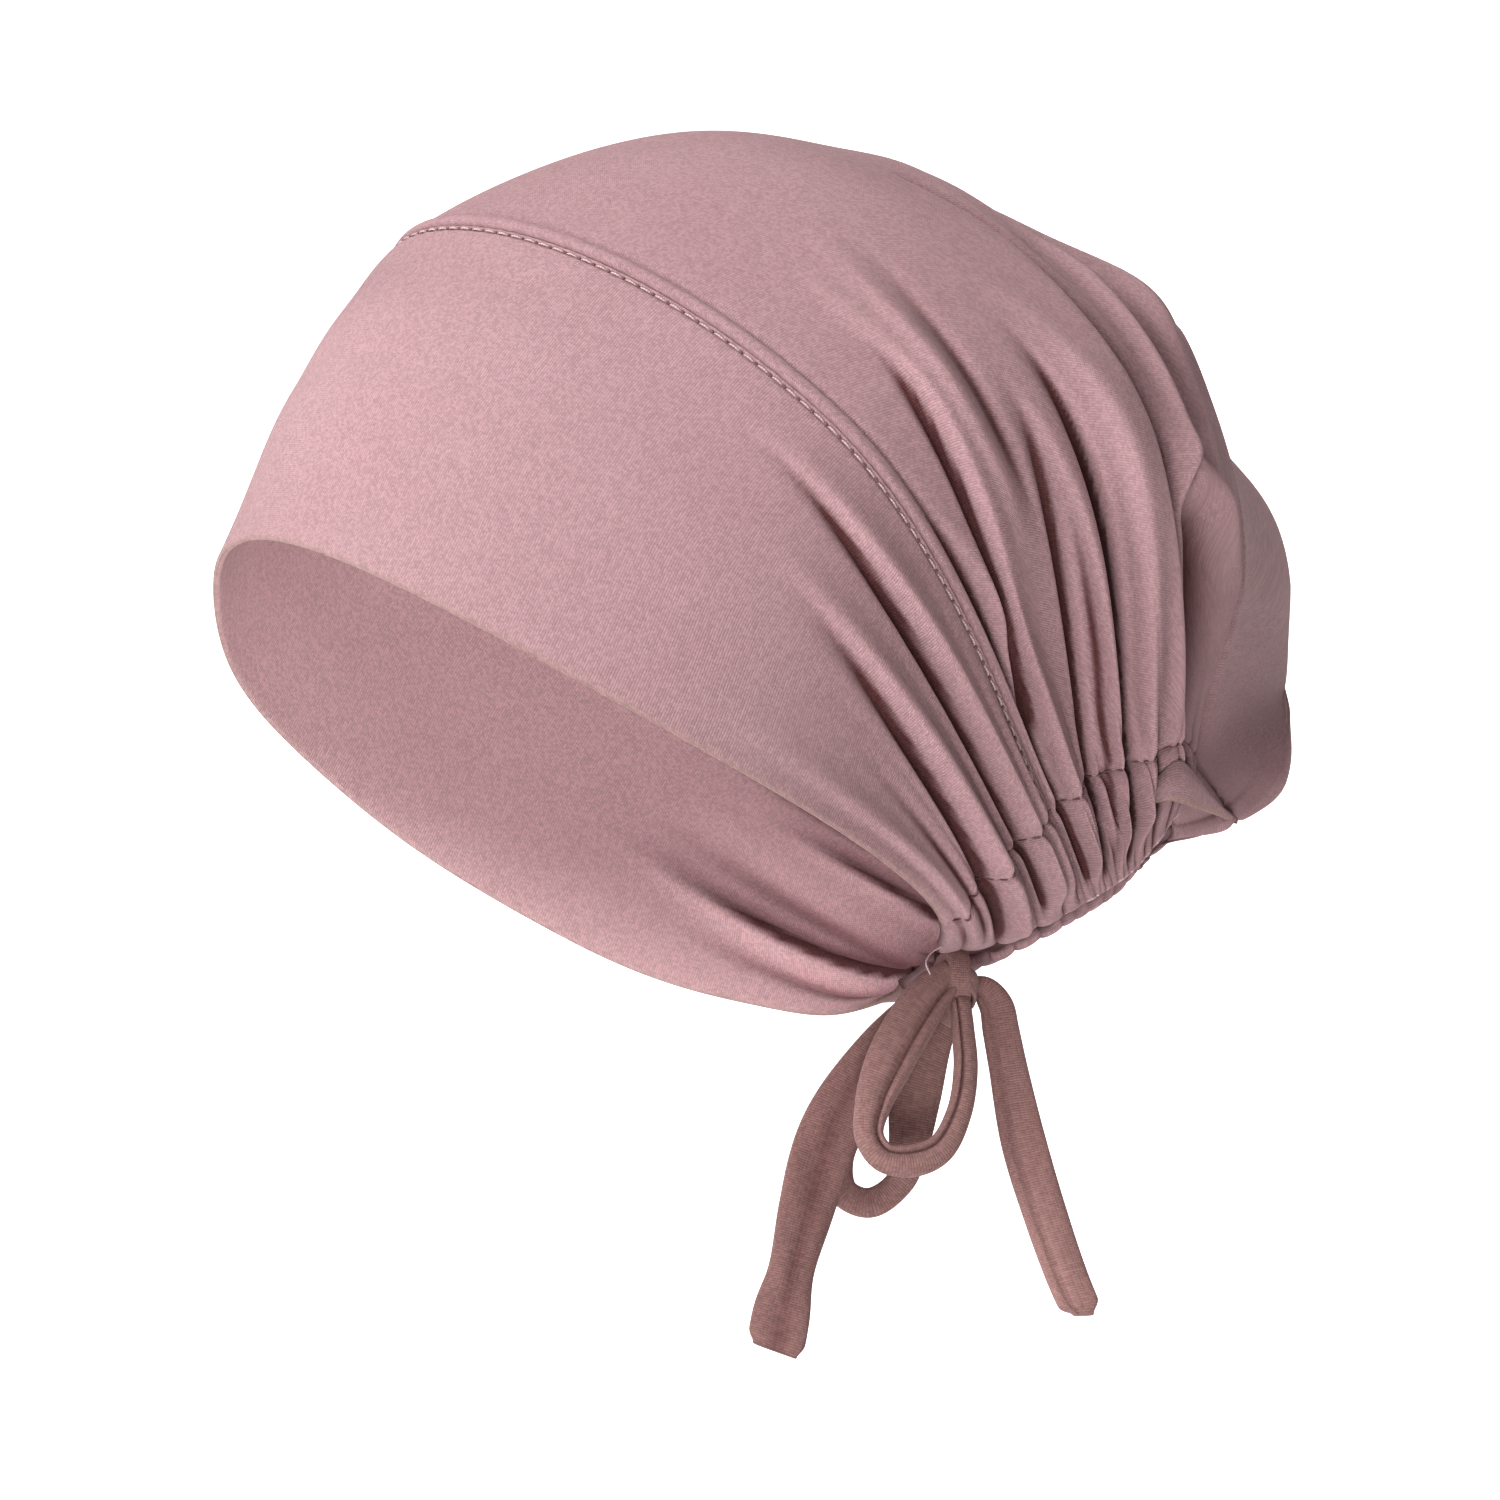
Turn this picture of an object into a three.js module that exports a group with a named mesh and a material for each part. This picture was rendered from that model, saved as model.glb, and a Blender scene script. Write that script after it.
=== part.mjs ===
import * as THREE from 'three';

// Turban cap of thin jersey: a front band, a gathered crown behind it, an elastic
// casing along the nape, and a bow tied from two straps where the casing ends meet.
//
// Millimetres, +Z up. The cap faces -Y, the wearer's left side is +X, and the origin
// is the head seat, the inside of the crown where the top of the head bears.

// Head seat, measured from the middle of the front rim.
const SEAT_BEHIND_FRONT = 110;
const SEAT_ABOVE_FRONT = 110;

// How far the bulge of the far half is shifted down its sections: 1 is not at all.
const FAR_SAG = 0.86;
const SAG_FADE = 0.08;

// Cloth thicknesses. The band is two layers folded at the rim, the casing is a
// channel of two layers round a flat elastic.
const BAND_WALL = 1.8;
const CROWN_WALL = 1.3;
const CASING_WALL = 2.8;

// Places along the hood: s runs from the front rim (0) to the centre-back seam (1),
// and turn runs over the head, from the casing on the near side (0) across the top
// line (1) to the casing on the far side (2).
const BAND_SEAM = 0.42;
const SEAM_GAP = 0.0022;
const CASING_GAP = 0.006;
const CASING_SWELL = 1.6;

// Mesh steps.
const CROWN_STEPS = { along: 43, over: 40 };
const BAND_STEPS = { along: 10, over: 40 };
const CASING_STEPS = { across: 3, round: 36 };
const STRAP_SIDES = 8;
const KNOT_SIDES = { round: 16, high: 10 };
const SLOPE_STEP = 1e-3;

// The crown's rows lean with the run of its folds on the near half, forwards near the
// band and backwards near the centre-back seam, by this much of s.
const LEAN = { s: 0.08, startsAt: 0.12, risesTo: 0.7, holdsTo: 0.95, endsAt: 1.35 };

const JERSEY = new THREE.Color(0.62, 0.44, 0.43);
const BAND_CLOTH = new THREE.MeshStandardMaterial({ color: JERSEY, roughness: 0.92, metalness: 0 });
const CROWN_CLOTH = new THREE.MeshStandardMaterial({ color: JERSEY, roughness: 0.94, metalness: 0 });
const CASING_CLOTH = new THREE.MeshStandardMaterial({ color: JERSEY, roughness: 0.95, metalness: 0 });
const STRAP_CLOTH = new THREE.MeshStandardMaterial({ color: JERSEY, roughness: 0.9, metalness: 0 });

function table(columns, rows) {
  return rows.map((row) => Object.fromEntries(columns.map((column, i) => [column, row[i]])));
}

// One row for each cross-section of the hood, from the rim to the centre-back seam.
// A section climbs from its foot on the casing to its top on the middle line.
// Feet and tops are measured back (Y) and up (Z) from the middle of the front rim.
// Width is how far the section stands out sideways, bow how far it bulges away from
// the straight line between foot and top, and box how square that bulge is. Widest is
// the share of the way up where it is widest, and flare how much it pinches in below.
// Casing is how far over the hood the casing reaches from its edge.
const SECTIONS = table(
  ['s', 'footX', 'footY', 'footZ', 'topY', 'topZ', 'nearWidth', 'nearBow', 'nearBox', 'nearCasing',
    'farWidth', 'farBow', 'farBox', 'farCasing', 'widest', 'flare'],
  [
    [0.00, 6, 170, -88, -0.5, 0, 81, -14, 2.0, 0.075, 77, -13, 2.3, 0.075, 0.50, 0.0],
    [0.20, 7, 186, -84, 17, 42, 81, 1, 2.0, 0.115, 80, 1, 2.0, 0.115, 0.50, 0.3],
    [0.42, 7, 205, -74, 39, 82, 79, 13, 2.0, 0.115, 79, 14, 2.0, 0.115, 0.50, 0.7],
    [0.56, 7, 215, -67, 80, 105, 76, 20, 2.0, 0.115, 76, 22, 2.2, 0.110, 0.52, 0.85],
    [0.70, 7, 221, -60, 125, 111, 68, 23, 2.0, 0.115, 71, 28, 2.6, 0.090, 0.52, 0.85],
    [0.82, 7, 225, -54, 165, 104, 53, 22, 2.0, 0.115, 64, 40, 3.0, 0.060, 0.50, 0.85],
    [0.92, 5, 228, -48, 203, 91, 35, 16, 2.0, 0.115, 50, 50, 3.6, 0.050, 0.50, 0.85],
    [1.00, 0, 228, -46, 232, 76, 12, 14, 1.6, 0.110, -12, 14, 1.6, 0.110, 0.50, 0.85],
  ],
);

// One row for each ridge (rise above 0) or valley of the cloth. A fold runs over the
// hood from turn `from` to turn `to`, through three places along s, and fades out at
// both ends. Width is its half width along s.
const FOLDS = table(
  ['from', 'to', 'sFrom', 'sMiddle', 'sTo', 'width', 'rise'],
  [
    [0.10, 1.90, 0.431, 0.431, 0.431, 0.008, 1.1],
    [0.12, 0.62, 0.445, 0.475, 0.510, 0.014, 4.0],
    [0.12, 0.60, 0.425, 0.448, 0.482, 0.010, -2.0],
    [0.14, 0.66, 0.520, 0.545, 0.565, 0.016, 3.4],
    [0.14, 0.62, 0.495, 0.515, 0.535, 0.012, -2.2],
    [0.12, 0.68, 0.640, 0.645, 0.625, 0.018, 5.5],
    [0.12, 0.62, 0.595, 0.608, 0.592, 0.014, -5.0],
    [0.14, 0.66, 0.760, 0.745, 0.695, 0.024, 6.0],
    [0.14, 0.72, 0.700, 0.698, 0.655, 0.014, -3.5],
    [0.14, 0.78, 0.815, 0.785, 0.735, 0.018, -9.0],
    [0.22, 0.82, 0.860, 0.825, 0.765, 0.020, 3.6],
    [0.26, 0.84, 0.900, 0.870, 0.810, 0.014, -7.0],
    [0.34, 0.86, 0.935, 0.905, 0.850, 0.020, 3.0],
    [0.84, 1.60, 0.800, 0.830, 0.860, 0.026, 4.5],
    [0.80, 1.50, 0.740, 0.770, 0.800, 0.020, -4.0],
    [1.30, 1.88, 0.620, 0.640, 0.640, 0.022, 5.0],
    [1.34, 1.88, 0.560, 0.575, 0.580, 0.016, -4.0],
    [1.36, 1.88, 0.700, 0.725, 0.740, 0.020, 5.5],
    [1.30, 1.86, 0.665, 0.690, 0.690, 0.014, -4.5],
    [1.24, 1.84, 0.800, 0.810, 0.790, 0.018, -6.0],
    [1.40, 1.86, 0.470, 0.490, 0.500, 0.018, 3.5],
    [1.70, 1.95, 0.880, 0.890, 0.900, 0.055, 4.0],
    [0.10, 0.52, 0.320, 0.348, 0.345, 0.018, 2.6],
    [0.10, 0.48, 0.285, 0.305, 0.300, 0.016, -1.8],
    [0.10, 0.44, 0.130, 0.205, 0.235, 0.024, 2.0],
    [0.10, 0.36, 0.090, 0.150, 0.180, 0.020, -1.6],
    [1.50, 1.90, 0.345, 0.348, 0.320, 0.018, 2.6],
    [1.56, 1.90, 0.220, 0.205, 0.130, 0.024, 2.0],
  ],
);

// Pleats that spread up from the elastic and fade out with height.
const PLEATS = { count: 14, rise: 1.1, fadeTurn: 0.13 };

// The bow hangs where the casing ends meet. Layers are how far sideways (X) each
// strap lies, so that the straps pass each other.
const KNOT = { y: 65.8, z: -204.3, halfX: 10.5, halfY: 5.5, halfZ: 5.4 };

// Flat straps: width seen from the side, and thickness across.
const STRAPS = {
  tie_loop_front: {
    width: 8.4,
    thickness: 5.6,
    route: table(['x', 'y', 'z'], [
      [6.3, 61.2, -206.9], [8.2, 55.2, -213.4], [10.0, 49.2, -223.2], [11.0, 44.4, -234.2],
      [11.2, 42.6, -243.4], [11.2, 45.6, -249.4], [11.2, 51.8, -251.0], [11.0, 58.2, -247.4],
      [10.4, 63.0, -238.0], [9.4, 65.0, -227.0], [8.2, 65.6, -217.8], [6.3, 66.6, -209.9],
    ]),
  },
  tie_loop_rear: {
    width: 10,
    thickness: 3.4,
    route: table(['x', 'y', 'z'], [
      [-4.2, 64.0, -209.5], [-6.0, 60.2, -217.0], [-8.6, 56.4, -228.0], [-9.6, 54.2, -240.4],
      [-10.0, 50.6, -250.2], [-11.0, 43.6, -252.0], [-12.6, 40.2, -244.6], [-13.2, 44.1, -231.6],
      [-11.6, 51.4, -219.0], [-8.6, 61.0, -207.0],
    ]),
  },
  tie_tail_left: {
    width: 13,
    thickness: 3.2,
    route: table(['x', 'y', 'z'], [
      [-0.4, 59.2, -205.8], [-0.8, 54.0, -209.4], [-1.4, 44.6, -218.6], [-1.6, 36.6, -233.4],
      [-1.6, 33.4, -244.6], [-1.6, 30.2, -260.0], [-1.4, 27.3, -273.8], [-1.0, 24.9, -285.4],
      [-0.6, 22.9, -295.4],
    ]),
  },
  tie_tail_right: {
    width: 11,
    thickness: 3.2,
    route: table(['x', 'y', 'z'], [
      [1.0, 73.1, -208.2], [1.6, 74.6, -212.6], [2.2, 76.6, -222.8], [2.6, 79.9, -241.6],
      [2.8, 85.2, -258.8], [3.0, 89.7, -274.4], [3.2, 92.4, -284.2],
    ]),
  },
};
const STRAP_STEP = 4.4;

function smoothstep(low, high, value) {
  const share = THREE.MathUtils.clamp((value - low) / (high - low), 0, 1);
  return share * share * (3 - 2 * share);
}

// Slope of a column at each row, from the parabola through it and its neighbours.
function slopes(rows, column) {
  return rows.map((row, i) => {
    const before = rows[Math.max(i - 1, 0)];
    const after = rows[Math.min(i + 1, rows.length - 1)];
    if (before === row || after === row) {
      return (after[column] - before[column]) / (after.s - before.s);
    }
    const left = row.s - before.s;
    const right = after.s - row.s;
    const fall = (row[column] - before[column]) / left;
    const rise = (after[column] - row[column]) / right;
    return (fall * right + rise * left) / (left + right);
  });
}

const SECTION_SLOPES = Object.fromEntries(
  Object.keys(SECTIONS[0]).map((column) => [column, slopes(SECTIONS, column)]),
);

// Every column of the sections at one place along the hood, as a smooth curve.
function sectionAt(s) {
  const last = SECTIONS.length - 2;
  const found = SECTIONS.findIndex((row, i) => i > 0 && s <= row.s) - 1;
  const i = found < 0 ? last : Math.min(found, last);
  const [a, b] = [SECTIONS[i], SECTIONS[i + 1]];
  const span = b.s - a.s;
  const u = (s - a.s) / span;
  const weightA = (1 + 2 * u) * (1 - u) ** 2;
  const slopeA = u * (1 - u) ** 2 * span;
  const weightB = u * u * (3 - 2 * u);
  const slopeB = u * u * (u - 1) * span;
  return Object.fromEntries(Object.keys(a).map((column) => {
    const slope = SECTION_SLOPES[column];
    return [column, weightA * a[column] + slopeA * slope[i] + weightB * b[column] + slopeB * slope[i + 1]];
  }));
}

// The hood without folds, at s along it and `turn` over it.
function smoothHood(s, turn) {
  const far = turn > 1;
  const t = far ? 2 - turn : turn;
  const row = sectionAt(s);
  const width = far ? row.farWidth : row.nearWidth;
  const bow = far ? row.farBow : row.nearBow;
  const box = far ? row.farBox : row.nearBox;
  let x;
  let q;
  if (t < row.widest) {
    const v = t / row.widest;
    const roundX = Math.sin(Math.PI / 2 * v);
    const roundQ = 1 - Math.cos(Math.PI / 2 * v);
    const pinchedX = THREE.MathUtils.lerp(roundX, v * v * (3 - 2 * v), row.flare);
    const pinchedQ = THREE.MathUtils.lerp(roundQ, v, row.flare);
    x = THREE.MathUtils.lerp(row.footX, width, pinchedX);
    q = row.widest * pinchedQ;
  } else {
    const up = Math.PI / 2 * (t - row.widest) / (1 - row.widest);
    x = width * Math.cos(up);
    q = THREE.MathUtils.lerp(row.widest, 1, Math.sin(up));
  }
  const dy = row.topY - row.footY;
  const dz = row.topZ - row.footZ;
  const length = Math.hypot(dy, dz);
  const height = far && s < 1 ? q ** (1 - (1 - FAR_SAG) * Math.min((1 - s) / SAG_FADE, 1)) : q;
  const bulge = bow * (1 - Math.abs(2 * height - 1) ** box);
  return new THREE.Vector3(
    far ? -x : x,
    row.footY + dy * q + dz / length * bulge - SEAT_BEHIND_FRONT,
    row.footZ + dz * q - dy / length * bulge - SEAT_ABOVE_FRONT,
  );
}

// Height of the cloth above the smooth hood: the folds and the pleats together.
function clothRise(s, turn) {
  let rise = 0;
  for (const fold of FOLDS) {
    const along = (turn - fold.from) / (fold.to - fold.from);
    if (along > 0 && along < 1) {
      const middle = 4 * along * (1 - along);
      const straight = THREE.MathUtils.lerp(fold.sFrom, fold.sTo, along);
      const centre = straight + middle * (fold.sMiddle - (fold.sFrom + fold.sTo) / 2);
      const fade = smoothstep(0, 0.3, along) * smoothstep(0, 0.3, 1 - along);
      rise += fold.rise * fade * Math.exp(-(((s - centre) / fold.width) ** 2));
    }
  }
  const t = Math.min(turn, 2 - turn);
  rise += PLEATS.rise * Math.cos(2 * Math.PI * PLEATS.count * s) * Math.exp(-t / PLEATS.fadeTurn);
  return rise * smoothstep(1, 0.94, s) * smoothstep(0, 0.04, s);
}

// Outward normal of the smooth hood, from its slopes along both ways.
function sideNormal(s, turn) {
  const sLow = Math.max(s - SLOPE_STEP, 0);
  const sHigh = Math.min(s + SLOPE_STEP, 1);
  const turnLow = Math.max(turn - SLOPE_STEP, 0);
  const turnHigh = Math.min(turn + SLOPE_STEP, 2);
  const along = smoothHood(sHigh, turn).sub(smoothHood(sLow, turn));
  const over = smoothHood(s, turnHigh).sub(smoothHood(s, turnLow));
  return over.cross(along).normalize();
}

// On the centre-back seam both halves share the middle of their two normals.
function hoodNormal(s, turn) {
  const normal = sideNormal(s, turn);
  return s < 1 ? normal : normal.add(sideNormal(s, 2 - turn)).normalize();
}

// A point of the cloth, or of the layer that lies `depth` below its outer face.
function clothPoint(s, turn, depth, extraRise = 0) {
  const rise = clothRise(s, turn) + extraRise - depth;
  return smoothHood(s, turn).addScaledVector(hoodNormal(s, turn), rise);
}

// A closed sheet of cloth: its outer face is a grid of rows and columns of points, its
// inner face lies one wall thickness below it, and the open edges are joined.
// Corners that `share` names alike are one corner, which sews two edges together.
function sheetSolid(rows, columns, pointAt, wall, share = (row, column) => [row, column]) {
  const names = new Map();
  const outer = [];
  const inner = [];
  const corner = (row, column) => {
    const name = share(row, column).join();
    if (!names.has(name)) {
      names.set(name, outer.length);
      outer.push(pointAt(row, column, 0));
      inner.push(pointAt(row, column, wall));
    }
    return names.get(name);
  };
  const faces = [];
  for (let row = 0; row < rows; row += 1) {
    for (let column = 0; column < columns; column += 1) {
      const a = corner(row, column);
      const b = corner(row + 1, column);
      const c = corner(row + 1, column + 1);
      const d = corner(row, column + 1);
      faces.push([a, d, c], [a, c, b]);
    }
  }
  const count = outer.length;
  const used = new Set(faces.flatMap(([a, b, c]) => [`${a},${b}`, `${b},${c}`, `${c},${a}`]));
  const open = [...used]
    .map((edge) => edge.split(',').map(Number))
    .filter(([a, b]) => !used.has(`${b},${a}`));
  const solid = new THREE.BufferGeometry().setFromPoints([...outer, ...inner]);
  solid.setIndex([
    ...faces.flat(),
    ...faces.flatMap(([a, b, c]) => [a + count, c + count, b + count]),
    ...open.flatMap(([a, b]) => [b, a, a + count, b, a + count, b + count]),
  ]);
  solid.computeVertexNormals();
  return solid;
}

function namedMesh(name, geometry, material) {
  const mesh = new THREE.Mesh(geometry, material);
  mesh.name = name;
  return mesh;
}

// Place along the hood of a crown row that would be at s if the rows did not lean.
function leaned(s, turn) {
  const share = (s - BAND_SEAM) / (1 - BAND_SEAM);
  const climb = smoothstep(LEAN.startsAt, LEAN.risesTo, turn) - 0.5;
  const fade = smoothstep(LEAN.endsAt, LEAN.holdsTo, turn);
  return s + LEAN.s * Math.sin(2 * Math.PI * share) * climb * fade;
}

// A panel of the hood between two places along it, over the whole head, from just
// above the casing on one side to just above it on the other.
function panelPoint(from, to, steps, placed = (s) => s) {
  return (row, column, depth) => {
    const s = THREE.MathUtils.lerp(from, to, row / steps.along);
    const { nearCasing, farCasing } = sectionAt(s);
    const starts = nearCasing + CASING_GAP;
    const ends = 2 - farCasing - CASING_GAP;
    const turn = THREE.MathUtils.lerp(starts, ends, column / steps.over);
    return clothPoint(placed(s, turn), turn, depth);
  };
}

function frontBand() {
  const point = panelPoint(0, BAND_SEAM - SEAM_GAP / 2, BAND_STEPS);
  const geometry = sheetSolid(BAND_STEPS.along, BAND_STEPS.over, point, BAND_WALL);
  return namedMesh('front_band', geometry, BAND_CLOTH);
}

// The crown closes on itself: its last row is the centre-back seam, where the near
// and the far half are sewn together.
function crown() {
  const point = panelPoint(BAND_SEAM + SEAM_GAP / 2, 1, CROWN_STEPS, leaned);
  const sewn = (row, column) => (
    row === CROWN_STEPS.along ? [row, Math.min(column, CROWN_STEPS.over - column)] : [row, column]
  );
  const geometry = sheetSolid(CROWN_STEPS.along, CROWN_STEPS.over, point, CROWN_WALL, sewn);
  return namedMesh('crown', geometry, CROWN_CLOTH);
}

// The casing runs from the knot along the near side to the centre back and returns
// along the far side to the knot.
function napeCasing() {
  const pointAt = (row, column, depth) => {
    const round = row / CASING_STEPS.round;
    const s = round < 1 ? round : 2 - round;
    const share = column / CASING_STEPS.across;
    const { nearCasing, farCasing } = sectionAt(s);
    const turn = round <= 1 ? nearCasing * share : 2 - farCasing * share;
    const swell = CASING_SWELL * Math.sin(Math.PI * share) * smoothstep(0, 0.08, s);
    return clothPoint(s, turn, depth, swell);
  };
  const geometry = sheetSolid(2 * CASING_STEPS.round, CASING_STEPS.across, pointAt, CASING_WALL);
  return namedMesh('nape_casing', geometry, CASING_CLOTH);
}

function bowKnot() {
  const geometry = new THREE.SphereGeometry(1, KNOT_SIDES.round, KNOT_SIDES.high);
  geometry.scale(KNOT.halfX, KNOT.halfY, KNOT.halfZ);
  const mesh = namedMesh('bow_knot', geometry, STRAP_CLOTH);
  mesh.position.set(0, KNOT.y, KNOT.z);
  return mesh;
}

// Flat oval cross-section of a strap, its width along the shape's Y.
function strapSection(width, thickness) {
  const corners = Array.from({ length: STRAP_SIDES }, (_, i) => {
    const angle = 2 * Math.PI * (i + 0.5) / STRAP_SIDES;
    return new THREE.Vector2(thickness / 2 * Math.cos(angle), width / 2 * Math.sin(angle));
  });
  return new THREE.Shape(corners);
}

function strap(name, { width, thickness, route }) {
  const curve = new THREE.CatmullRomCurve3(route.map(({ x, y, z }) => new THREE.Vector3(x, y, z)));
  const steps = Math.round(curve.getLength() / STRAP_STEP);
  const section = strapSection(width, thickness);
  const geometry = new THREE.ExtrudeGeometry(section, { steps, extrudePath: curve, bevelEnabled: false });
  return namedMesh(name, geometry, STRAP_CLOTH);
}

const cap = new THREE.Group();
cap.add(frontBand(), crown(), napeCasing(), bowKnot());
for (const [name, size] of Object.entries(STRAPS)) {
  cap.add(strap(name, size));
}

export default cap;
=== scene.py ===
"""Turban cap of thin jersey, filled out as worn, seen from below its wearer's left side.

The cap is one hood worked out in numpy over two parameters: s runs from the front rim (0)
over the band seam to the centre-back seam (1), and turn runs over the head from the nape
casing on the near side (0) across the top line (1) to the casing on the far side (2).
Shapes are worked out in millimetres and put into the meshes in metres.
"""

import logging
from dataclasses import dataclass
from enum import Enum
from typing import Callable, NamedTuple

import bpy
import numpy as np
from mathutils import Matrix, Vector


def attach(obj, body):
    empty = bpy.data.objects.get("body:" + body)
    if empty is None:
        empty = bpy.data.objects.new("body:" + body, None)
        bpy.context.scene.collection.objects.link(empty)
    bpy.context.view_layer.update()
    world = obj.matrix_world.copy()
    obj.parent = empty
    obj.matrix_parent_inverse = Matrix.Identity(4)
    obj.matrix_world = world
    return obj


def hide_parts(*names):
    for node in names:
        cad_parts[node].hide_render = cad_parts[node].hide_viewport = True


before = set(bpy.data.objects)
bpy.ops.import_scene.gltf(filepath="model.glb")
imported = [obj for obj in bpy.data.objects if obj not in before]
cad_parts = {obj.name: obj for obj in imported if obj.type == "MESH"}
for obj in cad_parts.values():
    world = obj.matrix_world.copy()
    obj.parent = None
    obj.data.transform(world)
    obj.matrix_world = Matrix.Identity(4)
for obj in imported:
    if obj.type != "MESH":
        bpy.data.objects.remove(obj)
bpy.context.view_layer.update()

MM = 0.001
LOG = logging.getLogger("turban_cap")

Array = np.ndarray
PointAt = Callable[[Array, Array, Array], Array]


class Side(Enum):
    """The wearer's left half, which the camera sees, and the right half."""

    NEAR = "near"
    FAR = "far"


class Colour(NamedTuple):
    """A linear colour."""

    red: float
    green: float
    blue: float

    def rgba(self) -> tuple[float, float, float, float]:
        """The colour with full alpha."""
        return (self.red, self.green, self.blue, 1.0)

    def scaled(self, by: float) -> "Colour":
        """The colour with each part scaled."""
        return Colour(self.red * by, self.green * by, self.blue * by)


def lerp(low: Array, high: Array, share: Array) -> Array:
    """The value at share of the way from low to high."""
    return low + (high - low) * share


def smoothstep(low: float, high: float, value: Array) -> Array:
    """Rise from 0 at low to 1 at high along 3x^2 - 2x^3, also with low above high."""
    share = np.clip((value - low) / (high - low), 0.0, 1.0)
    return share * share * (3.0 - 2.0 * share)


def bell(distance: Array, width: float) -> Array:
    """A bump exp(-(distance / width)^2)."""
    return np.exp(-((distance / width) ** 2))


def unit(vectors: Array) -> Array:
    """Each vector divided by its length."""
    return vectors / np.maximum(np.linalg.norm(vectors, axis=-1, keepdims=True), 1e-12)


def run_length(points: Array, axis: int) -> Array:
    """Length from the first point along one axis of a grid, as the running sum of steps."""
    steps = np.linalg.norm(np.diff(points, axis=axis), axis=-1)
    zero = np.zeros_like(np.take(steps, [0], axis=axis))
    return np.concatenate([zero, np.cumsum(steps, axis=axis)], axis=axis)


def full_turn(count: int) -> Array:
    """Angles of a full turn in even steps from 0, without its end."""
    return np.arange(count) / count * 2 * np.pi


def curve_through(at: Array, rows: Array, where: Array) -> Array:
    """Points of a smooth curve through rows, each a cubic between two neighbours.

    The slope at a row is that of the parabola through it and its neighbours.

    Args:
        at: the place of each row along the curve, rising.
        rows: the values at those places, one row each.
        where: the places wanted, of any shape.

    Returns:
        The values, with the shape of where and one last axis for the columns.
    """
    slopes = np.gradient(rows, at, axis=0)
    i = np.clip(np.searchsorted(at, where, side="left") - 1, 0, len(at) - 2)
    span = (at[i + 1] - at[i])[..., None]
    u = (where - at[i])[..., None] / span
    return (
        (1 + 2 * u) * (1 - u) ** 2 * rows[i]
        + u * (1 - u) ** 2 * span * slopes[i]
        + u * u * (3 - 2 * u) * rows[i + 1]
        + u * u * (u - 1) * span * slopes[i + 1]
    )


def linked(name: str, data: bpy.types.ID) -> bpy.types.Object:
    """A new object around data, linked to the scene."""
    made = bpy.data.objects.new(name, data)
    bpy.context.collection.objects.link(made)
    return made


class Fold(NamedTuple):
    """A ridge (rise above 0) or valley that runs over the hood from start to end."""

    start: float
    end: float
    s_from: float
    s_middle: float
    s_to: float
    width: float
    rise: float
    steep: float
    fade_in: float
    fade_out: float

    def height(self, s: Array, turn: Array) -> Array:
        """Height of the fold in millimetres.

        Its centre is the parabola through three places along s, and its section the bell
        exp(-x^2), with x divided by 1 + steep * tanh(x), so a steep fold has a sharp
        front side. It fades in and out over shares of its run.

        Args:
            s: place along the hood.
            turn: place over the hood.

        Returns:
            The height at each place.
        """
        along = np.clip((turn - self.start) / (self.end - self.start), 0.0, 1.0)
        bend = self.s_middle - (self.s_from + self.s_to) / 2
        centre = lerp(self.s_from, self.s_to, along) + 4 * along * (1 - along) * bend
        fade = smoothstep(0, self.fade_in, along) * smoothstep(0, self.fade_out, 1 - along)
        across = (s - centre) / self.width
        across = across / (1 + self.steep * np.tanh(across))
        return self.rise * fade * np.exp(-(across**2))


SECTION_COLUMNS = (
    "s", "foot_x", "foot_y", "foot_z", "top_y", "top_z", "near_width", "near_bow", "near_box",
    "near_casing", "far_width", "far_bow", "far_box", "far_casing", "widest", "flare",
)
SECTIONS = np.array([
    [0.00, 6, 170, -88, -0.5, 0, 81, -14, 2.0, 0.075, 77, -13, 2.3, 0.075, 0.50, 0.0],
    [0.20, 7, 186, -84, 17, 42, 81, 1, 2.0, 0.115, 80, 1, 2.0, 0.115, 0.50, 0.3],
    [0.42, 7, 205, -74, 39, 82, 79, 13, 2.0, 0.115, 79, 14, 2.0, 0.115, 0.50, 0.7],
    [0.56, 7, 215, -67, 80, 105, 76, 20, 2.0, 0.115, 76, 22, 2.2, 0.110, 0.52, 0.85],
    [0.70, 7, 221, -60, 125, 111, 68, 23, 2.0, 0.115, 71, 28, 2.6, 0.090, 0.52, 0.85],
    [0.82, 7, 225, -54, 165, 104, 53, 22, 2.0, 0.115, 64, 40, 2.6, 0.060, 0.50, 0.85],
    [0.92, 5, 228, -48, 203, 91, 35, 16, 2.0, 0.115, 50, 50, 2.5, 0.050, 0.50, 0.85],
    [1.00, 0, 228, -46, 232, 76, 12, 14, 1.6, 0.110, -12, 14, 1.6, 0.110, 0.50, 0.85],
])

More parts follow.
